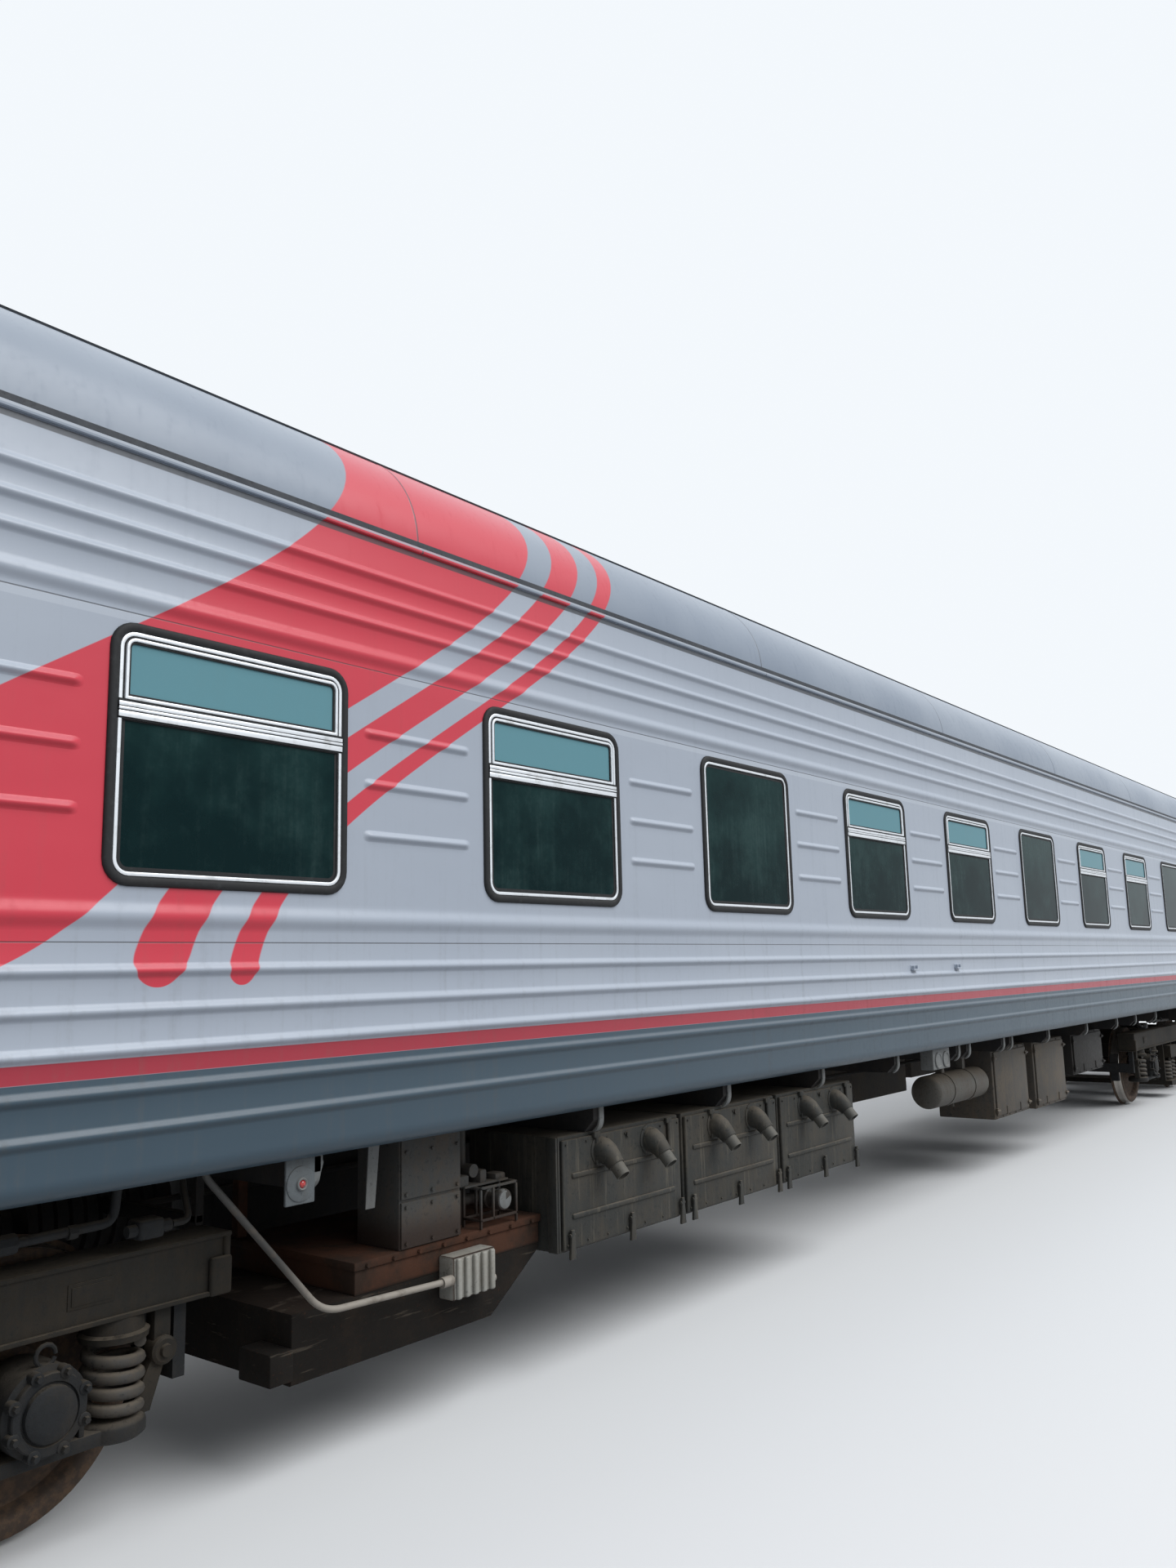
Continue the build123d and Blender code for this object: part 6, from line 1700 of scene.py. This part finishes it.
for (end_name, end), (side, hand) in product(ENDS.items(), SIDES.items()):
    dress_door("", f"{side}_{end_name}", body_paint, lambda across, up, out: (
        end * (LEAF_MIDDLE + across), hand * (LEAF_OUT + out), up
    ))

# ----------------------------------------------------------------------
# End doors. Hinged leaves that close the gangway doorways, glazed like the side doors, with
# their pane a little lower.
# ----------------------------------------------------------------------
END_LEAF_OUT = 11.765
END_LEAF_MIDDLE = -0.0025
END_PANE_DROP = 0.030
for end_name, end in ENDS.items():
    dress_door("end_", end_name, end_paint, lambda across, up, out: (
        end * (END_LEAF_OUT + out), END_LEAF_MIDDLE - across, up - (END_PANE_DROP if up > RAIL + 2.2 else 0)
    ))

# ----------------------------------------------------------------------
# Entrance steps. Three folded treads with a raised grip edge, riveted between two cheek plates
# that hang below each doorway.
# ----------------------------------------------------------------------
STEP_BACK, STEP_FRONT = 1.150, 1.498
STEP_LOW = RAIL + 0.440
STEP_TREAD = 0.030
STEP_RISE = (FLOOR_Z - STEP_LOW) / 3
STEP_TOP = FLOOR_Z - 0.001
CHEEK = [(STEP_BACK, STEP_TOP), (STEP_BACK, STEP_LOW), (STEP_FRONT, STEP_LOW), (STEP_FRONT, STEP_TOP)]
CHEEK_THICK = 0.012
step_paint = grimy("step_paint", (62, 64, 66), (84, 70, 56), rough=0.7, dust=0.6)
mesh = bmesh.new()
grips = []
for end, hand in product(BOTH, BOTH):
    x0, x1 = sorted((end * JAMB_X, end * (JAMB_X + DOOR_WIDTH)))
    y0, y1 = sorted((hand * STEP_BACK, hand * STEP_FRONT))
    for start in (x0, x1 - CHEEK_THICK):
        plate(mesh, mirrored(CHEEK, hand), "X", start, start + CHEEK_THICK, bevel=0.002)
    for level in range(3):
        z = STEP_LOW + STEP_RISE * level
        slab(mesh, (x0 + 0.011, x1 - 0.011), (y0, y1), (z, z + STEP_TREAD))
        for row, column in product(range(5), range(12)):
            grips.append((x0 + 0.060 + column * (DOOR_WIDTH - 0.12) / 11, y0 + 0.055 + row * 0.060, z + STEP_TREAD))
finished("hung_steps", mesh, [step_paint], "underframe_paint", "entrance_steps")
studs("step_grips", grips, (0, 0, 1), 0.011, 0.003, step_paint, "underframe_paint")

# ----------------------------------------------------------------------
# Handrails. Steel bars bent at both ends, one on each side of every doorway. They stand on small
# round flanges on the sheet.
# ----------------------------------------------------------------------
RAIL_PLACES = (10.780, 11.690)
RAIL_ENDS = (RAIL + 1.463, RAIL + 2.887)
RAIL_OFF = SIDE_Y + 0.049
rail_paint = grimy(
    "handrail_paint", (188, 190, 190), (120, 112, 100), rough=0.4, metal=0.5, amount=0.3, dust=0.2
)
mesh = bmesh.new()
for end, hand, place in product(BOTH, BOTH, RAIL_PLACES):
    x = end * place
    low, high = RAIL_ENDS
    turns = [(SIDE_Y, low), (RAIL_OFF, low), (RAIL_OFF, high), (SIDE_Y, high)]
    sweep(mesh, rounded([(x, hand * y, z) for y, z in turns], 0.035), 0.0128)
    start, stop = sorted((hand * (SIDE_Y - 0.001), hand * (SIDE_Y + 0.006)))
    flange = [(start, 0), (start, 0.030), (stop, 0.028), (stop, 0)]
    for z in RAIL_ENDS:
        solid_turn(mesh, flange, (x, 0, z), "Y", 20)
finished("bent_handrails", mesh, [rail_paint], "rail_metal", "handrails")

# ----------------------------------------------------------------------
# Inside. Plywood floor under dark sheet vinyl, laminate partitions between the sleeping bays,
# folding tables at the windows.
# ----------------------------------------------------------------------
BAYS = WINDOWS[1:-1]
INNER_WALL = INNER_Y - 0.001
TABLE_TOP = RAIL + 2.050
floor_vinyl = mottled("floor_vinyl", (72, 70, 68), (104, 98, 90), (90, 3, 0.6), (0.45, 0.6), Roughness=0.5)
coat(floor_vinyl, "floor")
coat(laminate, "partitions")

mesh = bmesh.new()
for x in BAYS:
    outline = soft_outline(x, INNER_WALL - 0.300, 0.520, 0.600, 0.045, steps=6)
    plate(mesh, outline, "Z", TABLE_TOP - 0.030, TABLE_TOP)
finished("window_tables", mesh, [laminate], "laminate", "tables")

# ----------------------------------------------------------------------
# Berths. Foam mattresses in dark blue vinyl with welted edges, on painted boards fixed to the
# partitions, two above each other on both sides of a bay and along the aisle.
# ----------------------------------------------------------------------
BERTH_LEVELS = (RAIL + 1.780, RAIL + 2.760)
BERTH_THICK = 0.070
BOARD_THICK = 0.014
PAD_THICK = BERTH_THICK - BOARD_THICK
BERTH_WIDTH = 0.580
AISLE_EDGE = -0.330
AISLE_BERTH_WIDTH = 0.540
AISLE_BERTH_HALF = 0.850
BAY_REACH = WINDOW_PITCH / 2 - 0.020
# Distance inside the edge, height above the pad's bottom: the side with its lower welt
PAD_SIDE = [(0.018, 0), (0.006, 0.003), (0.003, 0.008), (0.000, 0.010), (0.003, 0.013), (0.002, PAD_THICK / 2)]
# Distance inside the edge, depth below the pad's top: the upper welt and the top
PAD_TOP = [
    (0.003, 0.020), (0.000, 0.016), (0.003, 0.012), (0.010, 0.006), (0.030, 0.002), (0.080, 0.0003), (0.140, 0.001),
    (0.210, 0.003),
]
SAG = 0.0022
berth_vinyl = Finish("berth_vinyl", Coat_Weight=0.1)
crease = berth_vinyl.noise(9, 5, 0.6)
grain = berth_vinyl.noise(160, 3, 0.6)
tint = berth_vinyl.mixed(colour(44, 66, 104), colour(58, 80, 116), crease.over(0.4, 0.62))
berth_vinyl.set(Base_Color=tint, Roughness=0.42 + grain * 0.2)
berth_vinyl.relief(grain * 0.35 + crease * 0.65, 0.003)
board_finish = mottled("berth_board", (176, 168, 150), (150, 138, 116), (6, 4, 0.6), (0.4, 0.66), Roughness=0.5)


def mattress(mesh, x_ends, y_ends, top, seed):
    """A foam pad with welts along its edges and a softly sagging top."""
    rows = []
    rings = [(inset, top - PAD_THICK + up) for inset, up in PAD_SIDE] + [(inset, top - down) for inset, down in PAD_TOP]
    for inset, z in rings:
        radius = max(0.035 - inset * 0.5, 0.012)
        rows.append([])
        for a, b in round_corners(drawn_in(x_ends, inset), drawn_in(y_ends, inset), (radius, radius), 5):
            dent = SAG * (math.sin(7 * a + seed) * math.sin(9 * b + 2 * seed) - 1) if inset > 0.02 else 0
            rows[-1].append(mesh.verts.new((a, b, z + dent)))
    skin(mesh, rows)
    mesh.faces.new(rows[0])
    mesh.faces.new(rows[-1])


pads, boards = bmesh.new(), bmesh.new()
for (number, x), level in product(enumerate(BAYS), BERTH_LEVELS):
    low = level - BERTH_THICK
    spans = [
        ((x - BAY_REACH, x - BAY_REACH + BERTH_WIDTH), (AISLE_EDGE, INNER_WALL)),
        ((x + BAY_REACH - BERTH_WIDTH, x + BAY_REACH), (AISLE_EDGE, INNER_WALL)),
        (about(x, AISLE_BERTH_HALF), (-INNER_WALL, AISLE_BERTH_WIDTH - INNER_WALL)),
    ]
    for turn, (x_ends, y_ends) in enumerate(spans):
        mattress(pads, x_ends, y_ends, level, number * 3 + turn + level)
        slab(boards, drawn_in(x_ends, 0.002), drawn_in(y_ends, 0.002), (low, low + BOARD_THICK + 0.001), 0.002)
berth_pads = finished("berth_mattresses", pads, [berth_vinyl], "berth_cover", "berths", sharp=60)
finished("berth_boards", boards, [board_finish], "laminate")

# ----------------------------------------------------------------------
# Roof vents. Spun steel caps on short stems, welded along the crown of the roof and painted with
# it. The cabin's air leaves under their rims.
# ----------------------------------------------------------------------
VENT_FOOT = ROOF_CROWN + ROOF_RIB_HEIGHT
VENT_PITCH = 5.150
# Height above the ribs, radius
VENT = [
    (-0.020, 0), (-0.020, 0.088), (0.070, 0.088), (0.070, 0.172), (0.066, 0.178), (0.072, 0.180), (0.090, 0.170),
    (0.104, 0.135), (0.112, 0.080), (0.115, 0.0),
]
mesh = bmesh.new()
for step in range(-2, 3):
    solid_turn(mesh, VENT, (VENT_PITCH * step, 0, VENT_FOOT), "Z", 32)
finished("capped_vents", mesh, [roof_paint], "roof_paint", "roof_vents", sharp=35)

# ----------------------------------------------------------------------
# Stage. The pale floor the coach stands on, a soft sky with two broad suns, and the camera, low
# at the coach's left front.
# ----------------------------------------------------------------------
FLOOR_HALF = 90.0
CORNERS = [(FLOOR_HALF * sx, FLOOR_HALF * sy, 0) for sx, sy in ((-1, -1), (1, -1), (1, 1), (-1, 1))]
# Columns: name, direction towards the light, power, angle
SUNS = [("key", (0.30, -0.80, 1.0), 2.5, 48), ("fill", (-0.30, 0.80, 1.0), 0.9, 60)]
CAMERA_PLACE = (-9.380, -5.133, RAIL + 1.873)
CAMERA_YAW = 0.67092863
CAMERA_PITCH = 0.15813551
CAMERA_ROLL = -0.02438692


def in_view(net):
    """1 for the rays that show a surface to the camera, also through glass or off metal."""
    rays = net.add("ShaderNodeLightPath").outputs
    straight = net.maths("MAXIMUM", rays["Is Camera Ray"], rays["Is Glossy Ray"])
    return net.maths("MAXIMUM", straight, rays["Is Transmission Ray"])


stage_floor = bpy.data.meshes.new("floor_plane")
stage_floor.from_pydata(CORNERS, [], [(0, 1, 2, 3)])
pale_floor = Finish("pale_floor", Roughness=0.9, Specular_IOR_Level=0.1)
pale_floor.set(Base_Color=pale_floor.mixed(colour(140, 140, 142), colour(224, 226, 228), in_view(pale_floor)))
stage_floor.materials.append(pale_floor.material)
ground = bpy.data.objects.new("floor_plane", stage_floor)
bpy.context.scene.collection.objects.link(ground)
ground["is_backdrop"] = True

world = bpy.data.worlds.new("studio")
bpy.context.scene.world = world
world.use_nodes = True
sky = Net(world.node_tree)
sky.tree.nodes.clear()
soft = sky.add("ShaderNodeBackground", {"Color": (0.93, 0.965, 1.0, 1), "Strength": 0.52})
backdrop = sky.add("ShaderNodeBackground", {"Color": (0.90, 0.94, 0.98, 1), "Strength": 1.0})
both = sky.add("ShaderNodeMixShader", {0: in_view(sky), 1: soft.outputs[0], 2: backdrop.outputs[0]})
sky.add("ShaderNodeOutputWorld", {"Surface": both.outputs[0]})

for name, towards, power, spread in SUNS:
    lamp = bpy.data.lights.new(name, "SUN")
    lamp.energy = power
    lamp.angle = math.radians(spread)
    holder = bpy.data.objects.new(name, lamp)
    holder.rotation_euler = Vector(towards).to_track_quat("Z", "Y").to_euler()
    bpy.context.scene.collection.objects.link(holder)

lens = bpy.data.cameras.new("camera")
lens.sensor_fit = "VERTICAL"
lens.sensor_height = 36.0
lens.lens = 26.784
lens.clip_end = 400
camera = bpy.data.objects.new("camera", lens)
bpy.context.scene.collection.objects.link(camera)
ahead = Vector((
    math.cos(CAMERA_YAW) * math.cos(CAMERA_PITCH), math.sin(CAMERA_YAW) * math.cos(CAMERA_PITCH), math.sin(CAMERA_PITCH)
))
flat_right = Vector((math.sin(CAMERA_YAW), -math.cos(CAMERA_YAW), 0))
flat_up = flat_right.cross(ahead)
right = flat_right * math.cos(CAMERA_ROLL) + flat_up * math.sin(CAMERA_ROLL)
up = flat_up * math.cos(CAMERA_ROLL) - flat_right * math.sin(CAMERA_ROLL)
camera.matrix_world = Matrix.Translation(CAMERA_PLACE) @ Matrix((right, up, -ahead)).transposed().to_4x4()
bpy.context.scene.camera = camera
bpy.context.scene.view_settings.view_transform = "Standard"

boxes = {"cad": CAD_BOX, "visual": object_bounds()}
{name: [list(corner) for corner in box] for name, box in boxes.items()}
